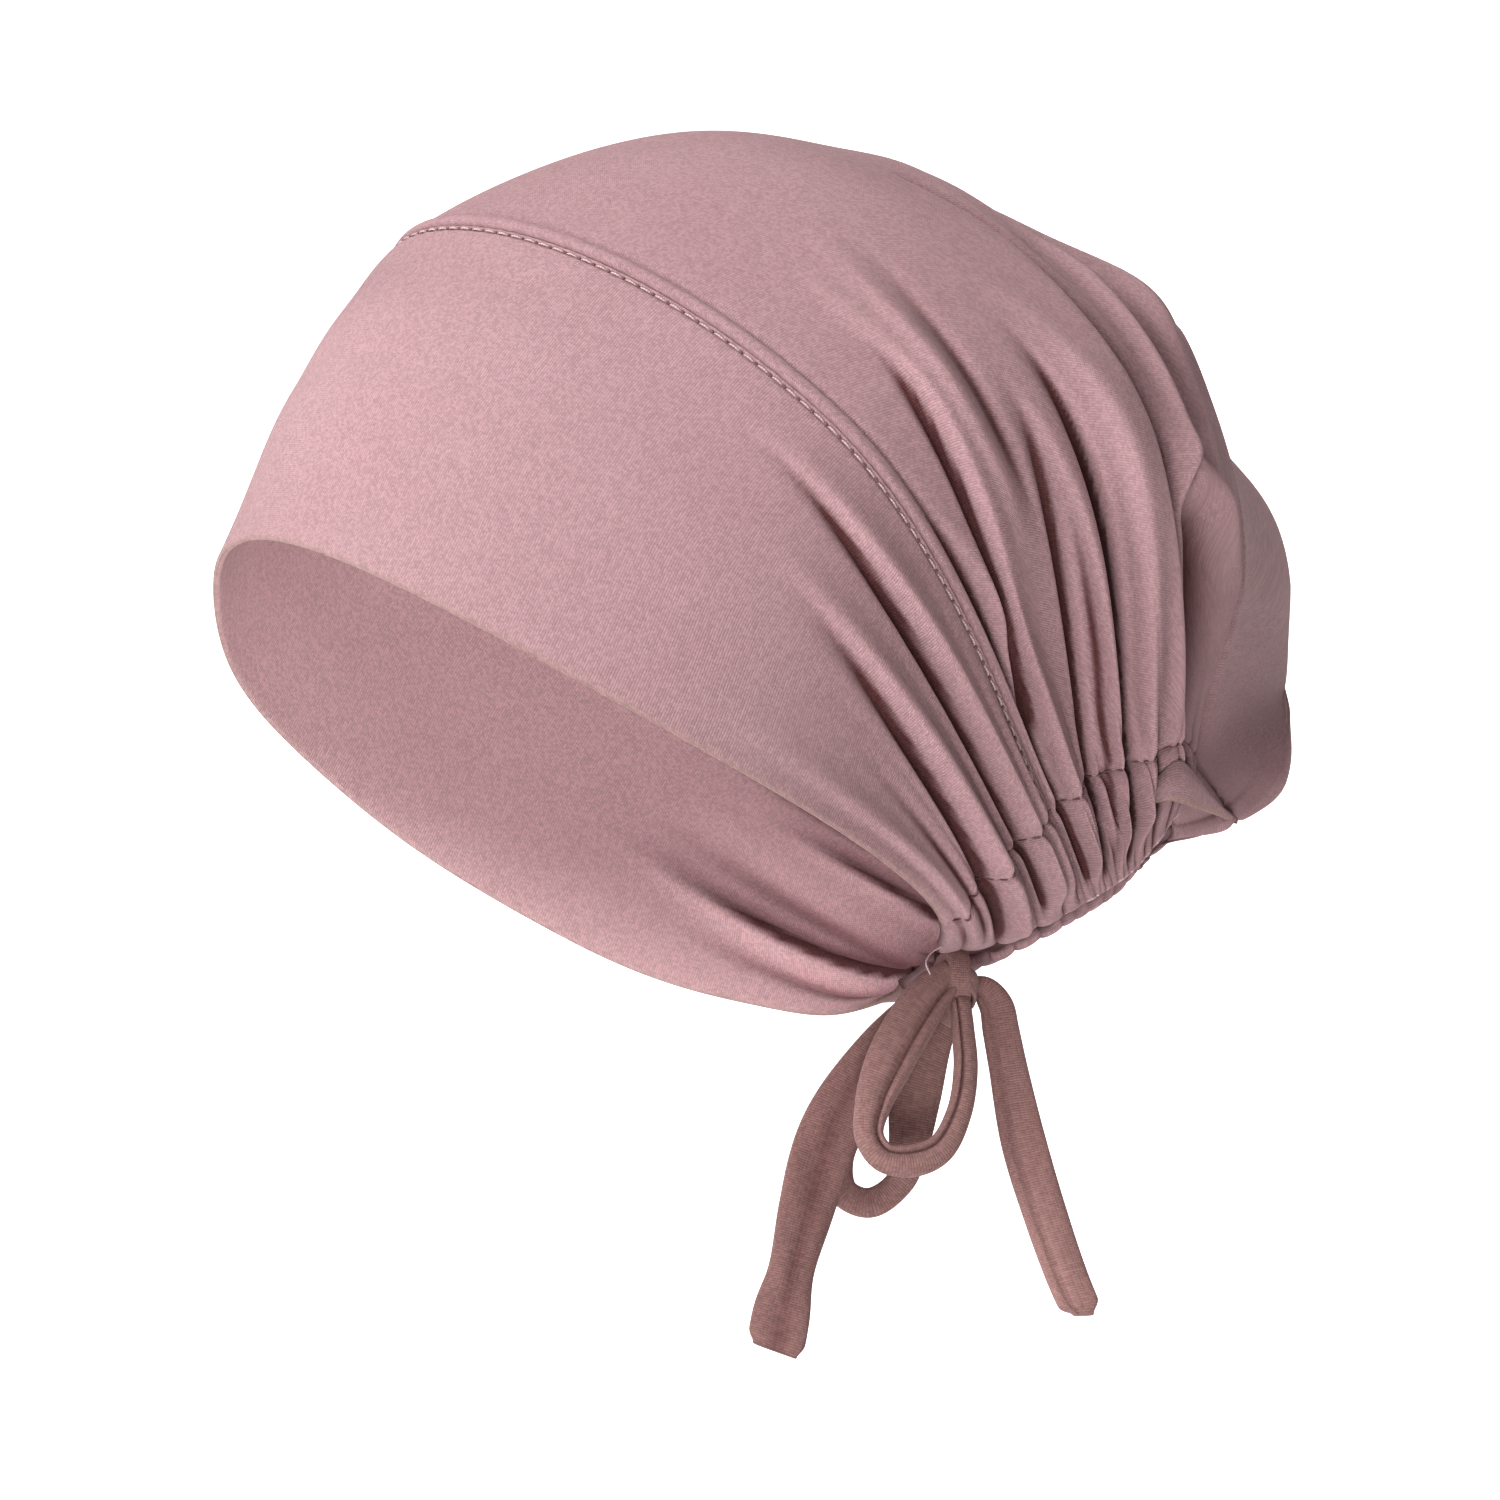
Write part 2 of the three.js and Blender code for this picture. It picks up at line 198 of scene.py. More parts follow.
# start, end, s_from, s_middle, s_to, width, rise, steep, fade_in, fade_out
FOLDS = [Fold(*row) for row in [
    (0.22, 0.64, 0.462, 0.502, 0.508, 0.019, 4.2, 0.55, 0.35, 0.45),
    (0.14, 0.57, 0.442, 0.482, 0.502, 0.0065, -5.2, 0.00, 0.25, 0.34),
    (0.00, 0.42, 0.458, 0.474, 0.446, 0.014, 4.4, 0.45, 0.10, 0.50),
    (0.00, 0.46, 0.438, 0.443, 0.437, 0.0070, -4.4, 0.00, 0.15, 0.55),
    (0.30, 0.66, 0.530, 0.530, 0.548, 0.014, 2.4, 0.30, 0.30, 0.45),
    (0.32, 0.64, 0.553, 0.553, 0.568, 0.011, -2.0, -0.20, 0.35, 0.45),
    (0.00, 0.50, 0.540, 0.612, 0.590, 0.017, 4.4, 0.30, 0.10, 0.45),
    (0.00, 0.50, 0.488, 0.562, 0.588, 0.010, -5.0, 0.00, 0.10, 0.45),
    (0.00, 0.56, 0.567, 0.648, 0.620, 0.010, -7.2, -0.20, 0.10, 0.40),
    (0.00, 0.62, 0.600, 0.705, 0.640, 0.030, 6.6, 0.25, 0.10, 0.40),
    (0.02, 0.72, 0.815, 0.752, 0.705, 0.022, 3.4, -0.45, 0.20, 0.35),
    (0.28, 0.76, 0.784, 0.774, 0.686, 0.009, -7.5, 0.20, 0.25, 0.28),
    (0.34, 0.78, 0.795, 0.818, 0.735, 0.015, 4.6, 0.00, 0.25, 0.35),
    (0.38, 0.80, 0.815, 0.842, 0.765, 0.009, -4.6, 0.00, 0.25, 0.35),
    (0.42, 0.84, 0.905, 0.880, 0.810, 0.022, 4.0, 0.20, 0.30, 0.35),
    (0.02, 0.47, 0.885, 0.888, 0.880, 0.055, -9.5, 0.00, 0.30, 0.40),
    (0.84, 1.60, 0.800, 0.830, 0.860, 0.026, 4.5, 0.20, 0.30, 0.30),
    (0.80, 1.50, 0.740, 0.770, 0.800, 0.020, -4.0, 0.00, 0.30, 0.30),
    (1.30, 1.94, 0.620, 0.640, 0.640, 0.022, 5.0, 0.20, 0.40, 0.15),
    (1.34, 1.92, 0.560, 0.575, 0.580, 0.014, -4.0, 0.00, 0.40, 0.20),
    (1.36, 1.94, 0.700, 0.725, 0.740, 0.020, 5.5, 0.20, 0.40, 0.15),
    (1.30, 1.92, 0.665, 0.690, 0.690, 0.012, -4.5, 0.00, 0.40, 0.20),
    (1.24, 1.88, 0.800, 0.810, 0.790, 0.018, -6.0, 0.00, 0.35, 0.25),
    (1.40, 1.94, 0.470, 0.490, 0.500, 0.018, 3.8, 0.30, 0.40, 0.15),
    (1.70, 1.95, 0.880, 0.890, 0.900, 0.055, 4.0, 0.00, 0.30, 0.30),
    (0.00, 0.58, 0.349, 0.350, 0.364, 0.018, 4.2, 0.45, 0.10, 0.50),
    (0.00, 0.54, 0.308, 0.321, 0.350, 0.011, -4.8, 0.00, 0.12, 0.50),
    (0.00, 0.50, 0.214, 0.236, 0.262, 0.023, 4.0, 0.35, 0.10, 0.50),
    (0.00, 0.44, 0.172, 0.202, 0.236, 0.014, -4.4, 0.00, 0.15, 0.50),
    (0.00, 0.36, 0.384, 0.390, 0.396, 0.012, 1.8, 0.30, 0.12, 0.60),
    (0.00, 0.46, 0.094, 0.060, 0.060, 0.024, 2.4, 0.20, 0.20, 0.60),
    (0.00, 0.34, 0.134, 0.130, 0.140, 0.014, -1.8, 0.00, 0.20, 0.60),
    (1.50, 1.95, 0.345, 0.348, 0.320, 0.018, 3.4, 0.30, 0.50, 0.15),
    (1.54, 1.95, 0.220, 0.205, 0.130, 0.024, 3.0, 0.20, 0.50, 0.15),
    (1.52, 1.95, 0.160, 0.130, 0.075, 0.018, -3.4, 0.00, 0.50, 0.15),
    (1.60, 1.96, 0.110, 0.080, 0.040, 0.022, 2.6, 0.20, 0.50, 0.12),
    (1.62, 1.95, 0.290, 0.285, 0.250, 0.016, -2.8, 0.00, 0.50, 0.15),
]]


ROLL_POWER = 0.55


class Gathers(NamedTuple):
    """Rolls of cloth between the valleys that the elastic draws in."""

    valleys: tuple[float, ...]
    heights: tuple[float, ...]
    reaches: tuple[float, ...]

    def height(self, s: Array, climb: Array) -> Array:
        """Height of the rolls in millimetres.

        Between two valleys a roll is (4u(1 - u))^ROLL_POWER of its height, so the rolls are
        round and the valleys sharp. Above the stitch line it fades as exp(-climb / reach).

        Args:
            s: place along the casing.
            climb: turn above the stitch line, 0 within the casing.

        Returns:
            The height at each place.
        """
        edges = np.array(self.valleys)
        roll = np.clip(np.searchsorted(edges, s, side="right") - 1, 0, len(edges) - 2)
        u = np.clip((s - edges[roll]) / (edges[roll + 1] - edges[roll]), 0.0, 1.0)
        arch = (4 * u * (1 - u)) ** ROLL_POWER
        fade = np.exp(-np.maximum(climb, 0.0) / np.array(self.reaches)[roll])
        return np.array(self.heights)[roll] * arch * fade


GATHERS = {
    Side.NEAR: Gathers(
        (0.0, 0.065, 0.170, 0.262, 0.285, 0.355, 0.405, 0.425, 0.452, 0.470, 0.488, 0.508,
         0.530, 0.552, 0.575, 0.600, 0.650, 0.700, 0.790, 0.840, 0.915, 0.960, 1.0),
        (1.4, 2.6, 4.0, 1.4, 4.0, 2.8, 1.6, 2.6, 2.2, 1.9, 2.3, 1.9, 2.5, 2.0, 2.2, 3.4, 2.6,
         3.6, 2.4, 2.8, 1.8, 1.6),
        (0.05, 0.06, 0.09, 0.03, 0.09, 0.06, 0.03, 0.04, 0.03, 0.03, 0.03, 0.03, 0.04, 0.03,
         0.03, 0.08, 0.06, 0.09, 0.05, 0.08, 0.05, 0.05),
    ),
    Side.FAR: Gathers(
        (0.0, 0.05, 0.12, 0.19, 0.26, 0.33, 0.39, 0.43, 0.47, 0.52, 0.56, 0.63, 0.69, 0.76, 0.82,
         0.88, 0.94, 1.0),
        (1.4, 1.8, 2.0, 2.4, 2.0, 2.6, 1.6, 1.8, 1.6, 2.0, 2.6, 2.2, 2.8, 2.0, 2.6, 2.0, 1.6),
        (0.05, 0.06, 0.07, 0.08, 0.06, 0.08, 0.05, 0.05, 0.04, 0.05, 0.09, 0.06, 0.09, 0.06, 0.08,
         0.05, 0.05),
    ),
}


NUDGE_SHUT_FROM = 0.965


class Nudge(NamedTuple):
    """A soft local move of the cloth: outwards by lift, and by y and z."""

    s: float
    turn: float
    s_width: float
    turn_width: float
    lift: float
    y: float
    z: float

    def share(self, s: Array, turn: Array) -> Array:
        """How much of the move a place gets: a bell along times a bell over the hood.

        Close to the centre-back seam both halves get the mean of the two, so it stays shut.
        """
        along = bell(s - self.s, self.s_width)
        own = bell(turn - self.turn, self.turn_width)
        other = bell(2 - turn - self.turn, self.turn_width)
        return along * lerp((own + other) / 2, own, smoothstep(1.0, NUDGE_SHUT_FROM, s))


# s, turn, s_width, turn_width, lift, y, z
NUDGES = [Nudge(*row) for row in [
    (0.350, 0.965, 0.065, 0.25, -2.2, 0.0, 0.0),
    (0.180, 0.985, 0.095, 0.30, 1.7, 0.0, 0.0),
    (0.630, 0.860, 0.070, 0.20, 1.8, 0.0, 0.0),
    (0.750, 0.800, 0.035, 0.12, 1.7, 0.0, 0.0),
    (0.785, 0.710, 0.025, 0.08, -2.0, 0.0, 0.0),
    (0.895, 0.690, 0.028, 0.08, 4.4, 0.0, 0.0),
    (1.000, 1.000, 0.040, 0.25, 1.6, 0.0, 0.0),
    (0.938, 1.480, 0.040, 0.13, 5.6, 0.0, 0.0),
    (0.914, 1.800, 0.080, 0.110, -4.0, 0.0, 0.0),
    (0.905, 1.935, 0.060, 0.075, 0.0, 3.6, -6.4),
    (0.905, 1.850, 0.050, 0.060, 1.5, 1.5, -1.0),
    (0.945, 1.400, 0.035, 0.080, 2.4, 0.0, 0.0),
    (0.890, 0.660, 0.030, 0.060, 1.6, 0.0, 0.0),
    (0.850, 0.760, 0.030, 0.060, -1.4, 0.0, 0.0),
    (0.890, 0.435, 0.075, 0.030, 6.2, 0.0, 0.0),
    (0.880, 0.372, 0.060, 0.022, -2.8, 0.0, 0.0),
    (0.900, 0.300, 0.060, 0.070, -4.5, 0.0, 0.0),
    (0.000, 1.200, 0.090, 0.110, 0.0, -3.6, -1.2),
    (0.000, 1.500, 0.090, 0.110, 0.0, 0.6, 1.2),
    (0.000, 1.820, 0.090, 0.070, 0.0, 0.0, -2.4),
]]


@dataclass(frozen=True)
class Hood:
    """The form of the cap, its folds and its gathers, in millimetres."""

    seat_behind_front: float = 110.0
    seat_above_front: float = 110.0
    far_sag: float = 0.86
    sag_fade: float = 0.08
    band_seam: float = 0.42
    slope_step: float = 1e-3
    stitch_dip: float = 0.55
    stitch_dip_turn: float = 0.007
    dip_share: float = 0.20
    drawn_share: float = 0.55
    drawn_turn: float = 0.055
    flat_from: float = 0.985
    # relief_reach, relief_height and relief_curve shape the mask of painted shade in valleys and painted
    # highlight on crests.
    relief_reach: float = 1.8
    relief_height: float = 9.0
    relief_curve: float = 1.3

    def section(self, s: Array) -> dict[str, Array]:
        """Every column of the sections at s, by name."""
        rows = curve_through(SECTIONS[:, 0], SECTIONS, s)
        return {name: rows[..., k] for k, name in enumerate(SECTION_COLUMNS)}

    def smooth(self, s: Array, turn: Array) -> Array:
        """Points of the hood without folds.

        A section climbs from its foot to its top. Below its widest place its width and
        its climb q follow sin and 1 - cos, mixed with 3v^2 - 2v^3 and v by flare, and
        above it cos and sin. It bulges by bow * (1 - |2q - 1|^box) across its own run.

        Args:
            s: place along the hood.
            turn: place over the hood.

        Returns:
            The points, with the head seat as their origin.
        """
        s, turn = np.broadcast_arrays(np.asarray(s, float), np.asarray(turn, float))
        row = self.section(s)
        far = turn > 1
        t = np.where(far, 2 - turn, turn)
        width = np.where(far, row["far_width"], row["near_width"])
        bow = np.where(far, row["far_bow"], row["near_bow"])
        box = np.where(far, row["far_box"], row["near_box"])
        v = np.clip(t / row["widest"], 0, 1)
        pinched_x = lerp(np.sin(np.pi / 2 * v), v * v * (3 - 2 * v), row["flare"])
        pinched_q = lerp(1 - np.cos(np.pi / 2 * v), v, row["flare"])
        up = np.pi / 2 * np.clip((t - row["widest"]) / (1 - row["widest"]), 0, 1)
        low = t < row["widest"]
        x = np.where(low, lerp(row["foot_x"], width, pinched_x), width * np.cos(up))
        q = np.where(low, row["widest"] * pinched_q, lerp(row["widest"], 1, np.sin(up)))
        dy = row["top_y"] - row["foot_y"]
        dz = row["top_z"] - row["foot_z"]
        length = np.hypot(dy, dz)
        sag = 1 - (1 - self.far_sag) * np.minimum((1 - s) / self.sag_fade, 1)
        height = np.where(far, q**sag, q)
        bulge = bow * (1 - np.abs(2 * height - 1) ** box)
        return np.stack([
            np.where(far, -x, x),
            row["foot_y"] + dy * q + dz / length * bulge - self.seat_behind_front,
            row["foot_z"] + dz * q - dy / length * bulge - self.seat_above_front,
        ], axis=-1)

    def slope_along(self, s: Array, turn: Array) -> Array:
        """The way from a small step before a place to a small step past it, along the hood."""
        step = self.slope_step
        return self.smooth(np.minimum(s + step, 1), turn) - self.smooth(np.maximum(s - step, 0), turn)

    def side_normal(self, s: Array, turn: Array) -> Array:
        """Outward normal, the cross product of the slopes along and over the hood."""
        step = self.slope_step
        over = self.smooth(s, np.minimum(turn + step, 2)) - self.smooth(s, np.maximum(turn - step, 0))
        return unit(np.cross(self.slope_along(s, turn), over))

    def normal(self, s: Array, turn: Array) -> Array:
        """Outward normal; on the centre-back seam the middle of both halves' normals."""
        own = self.side_normal(s, turn)
        both = unit(own + self.side_normal(s, 2 - turn))
        return np.where((s >= 1)[..., None], both, own)

    def stretch(self, s: Array, turn: Array) -> Array:
        """Millimetres of cloth for each unit of s."""
        return np.linalg.norm(self.slope_along(s, turn), axis=-1) / (2 * self.slope_step)

    def casing_edge(self, s: Array, turn: Array) -> Array:
        """How far over the hood the casing reaches at s, on the side where turn is."""
        row = self.section(s)
        return np.where(turn > 1, row["far_casing"], row["near_casing"])

    def rise(self, s: Array, turn: Array) -> Array:
        """Height of the cloth above the smooth hood: folds, gathers and the stitch dip."""
        s, turn = np.broadcast_arrays(np.asarray(s, float), np.asarray(turn, float))
        t = np.minimum(turn, 2 - turn)
        climb = t - self.casing_edge(s, turn)
        folds = sum(fold.height(s, turn) for fold in FOLDS)
        near = GATHERS[Side.NEAR].height(s, climb)
        far = GATHERS[Side.FAR].height(s, climb)
        gathers = np.where(turn > 1, far, near)
        dip = 1 - self.dip_share * bell(climb, self.stitch_dip_turn)
        drawn = 1 - self.drawn_share * smoothstep(self.drawn_turn, 0, t)
        rolls = (folds + gathers * dip) * drawn * smoothstep(1, self.flat_from, s)
        return rolls - self.stitch_dip * bell(climb, self.stitch_dip_turn)

    def nudged_out(self, s: Array, turn: Array) -> Array:
        """How far the nudges move the cloth outwards."""
        return sum(n.lift * n.share(s, turn) for n in NUDGES)

    def painted_light_and_shade(self, s: Array, turn: Array) -> Array:
        """How far a place stands out, below 0 in a valley or crease and above 0 on a crest.

        It adds the cloth's height to its height above the mean of the two places beside it. It is the
        mask of painted shade, which darkens the cloth's colour in valleys and creases, and of painted
        highlight, which lightens it on crests.
        """
        reach = self.relief_reach / self.stretch(s, turn)
        rise = self.rise(s, turn)
        beside = (self.rise(s - reach, turn) + self.rise(s + reach, turn)) / 2
        curve = (rise - beside) / self.relief_curve
        return np.clip((rise + self.nudged_out(s, turn)) / self.relief_height + curve, -1, 1)

    def seam_distance(self, s: Array, turn: Array) -> Array:
        """Millimetres from the band seam, above 0 on the crown's side."""
        return (s - self.band_seam) * self.stretch(np.full_like(s, self.band_seam), turn)

    def cloth(self, s: Array, turn: Array, lift: Array) -> Array:
        """Points at a height of lift above the folded cloth, along the smooth normal."""
        s, turn = np.broadcast_arrays(np.asarray(s, float), np.asarray(turn, float))
        height = self.rise(s, turn) + lift + self.nudged_out(s, turn)
        move = sum(n.share(s, turn)[..., None] * np.array([0.0, n.y, n.z]) for n in NUDGES)
        return self.smooth(s, turn) + move + self.normal(s, turn) * height[..., None]


@dataclass
class ClothMesh:
    """The points, faces and surface values of a piece before it becomes an object."""

    points: Array
    faces: list[Array]
    uv: Array
    merged: Array
    values: dict[str, Array]

    def build(self, name: str) -> bpy.types.Object:
        """Put the arrays into a mesh object in metres.

        Faces name grid corners; merged gives the point that each corner uses, so two
        corners of one point keep their own place on the cloth.

        Args:
            name: the piece's name.

        Returns:
            The object, linked to the scene.
        """
        used, index = np.unique(self.merged, return_inverse=True)
        corners = np.concatenate([faces.ravel() for faces in self.faces])
        sizes = np.concatenate([np.full(len(faces), faces.shape[1]) for faces in self.faces])
        mesh = bpy.data.meshes.new(name)
        mesh.vertices.add(len(used))
        mesh.vertices.foreach_set("co", (self.points[used] * MM).ravel())
        mesh.loops.add(len(corners))
        mesh.loops.foreach_set("vertex_index", index[corners].astype(np.int32))
        mesh.polygons.add(len(sizes))
        starts = np.concatenate([[0], np.cumsum(sizes)[:-1]])
        mesh.polygons.foreach_set("loop_start", starts.astype(np.int32))
        mesh.polygons.foreach_set("use_smooth", np.ones(len(sizes), bool))
        layer = mesh.uv_layers.new(name="cloth")
        layer.data.foreach_set("uv", (self.uv[corners] * MM).ravel())
        for key, value in self.values.items():
            attribute = mesh.attributes.new(key, "FLOAT", "POINT")
            attribute.data.foreach_set("value", value[used].astype(np.float32))
        mesh.update(calc_edges=True)
        mesh.validate()
        return linked(name, mesh)


def plain_values(count: int) -> dict[str, Array]:
    """Surface values of a piece that has no worn edge, no folds and no inside."""
    return {key: np.zeros(count) for key in ("edge", "fold", "inside")}


def folded_values(hood: Hood, s: Array, turn: Array) -> dict[str, Array]:
    """Surface values of cloth that has folds and no worn edge; its fold value is the mask of painted
    shade in valleys and painted highlight on crests.
    """
    return {"edge": np.zeros_like(s), "fold": hood.painted_light_and_shade(s, turn)}


def grid_faces(index: Array) -> Array:
    """Quads of a grid of corner numbers, wound so that along x over points outwards."""
    return np.stack([
        index[:-1, :-1], index[1:, :-1], index[1:, 1:], index[:-1, 1:],
    ], axis=-1).reshape(-1, 4)


@dataclass(frozen=True)
class ClothSheet:
    """A closed sheet of cloth: an outer face and an inner face with half its rows and columns."""

    wall: float
    rows: Array
    columns: Array
    point_at: PointAt
    tuck_at: Callable[[Array, Array], Array]
    sewn: bool = False

    def mesh(self, extra: Callable[[Array, Array], dict[str, Array]]) -> ClothMesh:
        """Work out the two faces and join them along the open edges.

        The outer face lies at the depth tuck, the inner one at wall - tuck. Where the two
        edges meet, each inner edge and the two outer edges beside it make a face of five.

        Args:
            extra: gives the surface values of the outer face from rows and columns.

        Returns:
            The arrays of the closed sheet.
        """
        r, c = np.meshgrid(self.rows, self.columns, indexing="ij")
        tuck = self.tuck_at(r, c)
        outer = self.point_at(r, c, tuck)
        half = (slice(None, None, 2), slice(None, None, 2))
        inner = self.point_at(r[half], c[half], self.wall - tuck[half])
        n, m = r.shape
        big = np.arange(n * m).reshape(n, m)
        small = np.arange(inner.shape[0] * inner.shape[1]).reshape(inner.shape[:2]) + n * m
        merged = np.arange(n * m + small.size)
        if self.sewn:
            for last in (big[-1], small[-1]):
                count = np.arange(len(last))
                merged[last] = last[np.minimum(count, count[::-1])]
        rims = [
            (big[0], small[0]),
            (big[::-1, 0], small[::-1, 0]),
            (big[:, -1], small[:, -1]),
        ]
        if not self.sewn:
            rims.append((big[-1, ::-1], small[-1, ::-1]))
        fives = [
            np.stack([o[:-2:2], o[1:-1:2], o[2::2], i[1:], i[:-1]], axis=-1) for o, i in rims
        ]
        width = run_length(outer, 1)
        middle = width[:, [m // 2]]
        uv = np.stack([width - middle, run_length(outer, 0)], axis=-1)
        values = extra(r, c)
        # inside is 1 on the inner face, which takes the lighter inner colour as painted light.
        values["inside"] = np.zeros_like(r)
        flat = {
            key: np.concatenate([
                value.ravel(),
                (np.ones_like(value[half]) if key == "inside" else value[half]).ravel(),
            ])
            for key, value in values.items()
        }
        return ClothMesh(
            points=np.concatenate([outer.reshape(-1, 3), inner.reshape(-1, 3)]),
            faces=[grid_faces(big), grid_faces(small)[:, ::-1], *fives],
            uv=np.concatenate([uv.reshape(-1, 2), uv[half].reshape(-1, 2)]),
            merged=merged,
            values=flat,
        )


EDGE_LIMIT = 0.97


def rounded_edge(distance: Array, radius: float) -> Array:
    """Depth of a rounded edge below the face: r - sqrt(r^2 - (r - distance)^2) within r."""
    inside = np.clip(radius - distance, 0, EDGE_LIMIT * radius)
    return radius - np.sqrt(radius**2 - inside**2)


def spread(*parts: tuple[float, float, int]) -> Array:
    """Places from the parts' first to last, each part with its own even steps.

    Args:
        parts: start, end and number of steps of each part, end to start.

    Returns:
        The places, each once.
    """
    runs = [np.linspace(start, end, steps + 1)[:-1] for start, end, steps in parts]
    return np.concatenate([*runs, [parts[-1][1]]])


@dataclass(frozen=True)
class Panel:
    """How a panel of the hood ends under the casing and at the band seam."""

    hood: Hood
    under_casing: float = 0.005
    drop: float = 1.3
    drop_turn: float = 0.009
    welt_middle: float = 1.9
    welt_half: float = 1.8
    welt_rise: float = 1.0
    stitch_back: float = 1.4
    stitch_groove: float = 0.5
    stitch_width: float = 0.6
    stitch_pitch: float = 4.3

    def turn(self, s: Array, share: Array) -> Array:
        """Place over the hood at a share of the way from casing to casing."""
        row = self.hood.section(s)
        starts = row["near_casing"] - self.under_casing
        ends = 2 - row["far_casing"] + self.under_casing
        return lerp(starts, ends, share)

    def end_drop(self, s: Array, turn: Array) -> Array:
        """How far the panel's ends dip under the casing, rising over a few millimetres."""
        t = np.minimum(turn, 2 - turn)
        above = t - self.hood.casing_edge(s, turn) + self.under_casing
        return self.drop * (1 - smoothstep(0, self.drop_turn, above))

    def pucker(self, turn: Array) -> Array:
        """How far the topstitching pulls the cloth, from 0 to 1, once for each stitch."""
        line = np.linspace(0, 2, 801)
        points = self.hood.smooth(np.full_like(line, self.hood.band_seam), line)
        along = np.interp(turn, line, run_length(points, 0))
        return 0.5 - 0.5 * np.cos(2 * np.pi * along / self.stitch_pitch)


@dataclass(frozen=True)
class FrontBand(Panel):
    """The doubled band round the face, folded at the rim."""

    wall: float = 1.8
    rim_steps: tuple[tuple[float, float, int], ...] = (
        (0.0, 0.004, 4), (0.004, 0.020, 6), (0.020, 0.400, 88), (0.400, 0.4215, 22),
    )
    columns: int = 500
    edge_width: float = 0.7
    sunk: float = 0.9
    sunk_from: float = -0.4
    sunk_to: float = 0.5
    pull: float = 0.25
    pull_width: float = 1.6

    def point_at(self, s: Array, share: Array, depth: Array) -> Array:
        """Points of the band: the hood's cloth with the groove and the puckers of the topstitch.

        Behind the stitches the band sinks by smoothstep, to pass under the crown's welt.
        """
        turn = self.turn(s, share)
        distance = self.hood.seam_distance(s, turn)
        groove = self.stitch_groove * bell(distance + self.stitch_back, self.stitch_width)
        under_welt = self.sunk * smoothstep(self.sunk_from, self.sunk_to, distance)
        pulled = self.pull * self.pucker(turn) * bell(distance + self.stitch_back, self.pull_width)
        lift = -depth - groove - pulled - under_welt - self.end_drop(s, turn)
        return self.hood.cloth(s, turn, lift)

    def rim_distance(self, s: Array, share: Array) -> Array:
        """Millimetres from the rim, along each column of the grid."""
        return run_length(self.hood.smooth(s, self.turn(s, share)), 0)

    def build(self) -> bpy.types.Object:
        """Make the band's closed sheet."""
        sheet = ClothSheet(
            wall=self.wall,
            rows=spread(*self.rim_steps),
            columns=np.linspace(0, 1, self.columns + 1),
            point_at=self.point_at,
            tuck_at=lambda s, share: rounded_edge(self.rim_distance(s, share), self.wall / 2),
        )

        def extra(s: Array, share: Array) -> dict[str, Array]:
            """The rim's worn line, and the folds' mask of painted shade in valleys and painted highlight
            on crests.
            """
            return {
                "edge": bell(self.rim_distance(s, share), self.edge_width),
                "fold": self.hood.painted_light_and_shade(s, self.turn(s, share)),
            }

        return sheet.mesh(extra).build("front_band_cloth")


@dataclass(frozen=True)
class Crown(Panel):
    """The gathered crown bag behind the band, sewn to itself along the centre back."""

    wall: float = 1.2
    row_steps: tuple[tuple[float, float, int], ...] = (
        (0.4203, 0.4350, 16), (0.4350, 0.9900, 240), (0.9900, 1.0, 8),
    )
    columns: int = 264
    lean: float = 0.08
    lean_from: float = 0.12
    lean_full: float = 0.7
    lean_fades: float = 0.95
    lean_ends: float = 1.35
    hollow: float = 0.5
    hollow_middle: float = 4.4
    hollow_width: float = 0.8
    back_seam_groove: float = 1.3
    back_seam_width: float = 1.1
    back_seam_near: float = 0.99

    def leaned(self, s: Array, turn: Array) -> Array:
        """Place along the hood of a row that leans with the run of the folds."""
        share = (s - self.hood.band_seam) / (1 - self.hood.band_seam)
        climb = smoothstep(self.lean_from, self.lean_full, turn) - 0.5
        fade = smoothstep(self.lean_ends, self.lean_fades, turn)
        return s + self.lean * np.sin(2 * np.pi * share) * climb * fade

    def placed(self, row: Array, share: Array) -> tuple[Array, Array]:
        """Places along and over the hood of a grid corner."""
        turn = self.turn(row, share)
        return np.minimum(self.leaned(row, turn), 1.0), turn

    def point_at(self, row: Array, share: Array, depth: Array) -> Array:
        """Points of the crown: the hood's cloth with the round welt beside the band seam.

        Behind the welt lies a shallow hollow, and a groove runs along the centre back.
        """
        s, turn = self.placed(row, share)
        distance = self.hood.seam_distance(s, turn)
        arch = 1 - ((distance - self.welt_middle) / self.welt_half) ** 2
        welt = self.welt_rise * np.sqrt(np.maximum(arch, 0))
        behind = self.hollow * bell(distance - self.hollow_middle, self.hollow_width)
        to_seam = (1 - s) * self.hood.stretch(np.full_like(s, self.back_seam_near), turn)
        groove = self.back_seam_groove * bell(to_seam, self.back_seam_width)
        lift = welt - behind - groove - depth - self.end_drop(s, turn)
        return self.hood.cloth(s, turn, lift)

    def build(self) -> bpy.types.Object:
        """Make the crown's closed sheet."""

        def tuck_at(row: Array, share: Array) -> Array:
            """The crown's front edge rolls under at the band seam."""
            return rounded_edge(run_length(self.hood.smooth(*self.placed(row, share)), 0), self.wall / 2)

        def extra(row: Array, share: Array) -> dict[str, Array]:
            """The folds' mask of painted shade in valleys and painted highlight on crests."""
            return folded_values(self.hood, *self.placed(row, share))

        sheet = ClothSheet(
            wall=self.wall,
            rows=spread(*self.row_steps),
            columns=np.linspace(0, 1, self.columns + 1),
            point_at=self.point_at,
            tuck_at=tuck_at,
            sewn=True,
        )
        return sheet.mesh(extra).build("crown_cloth")


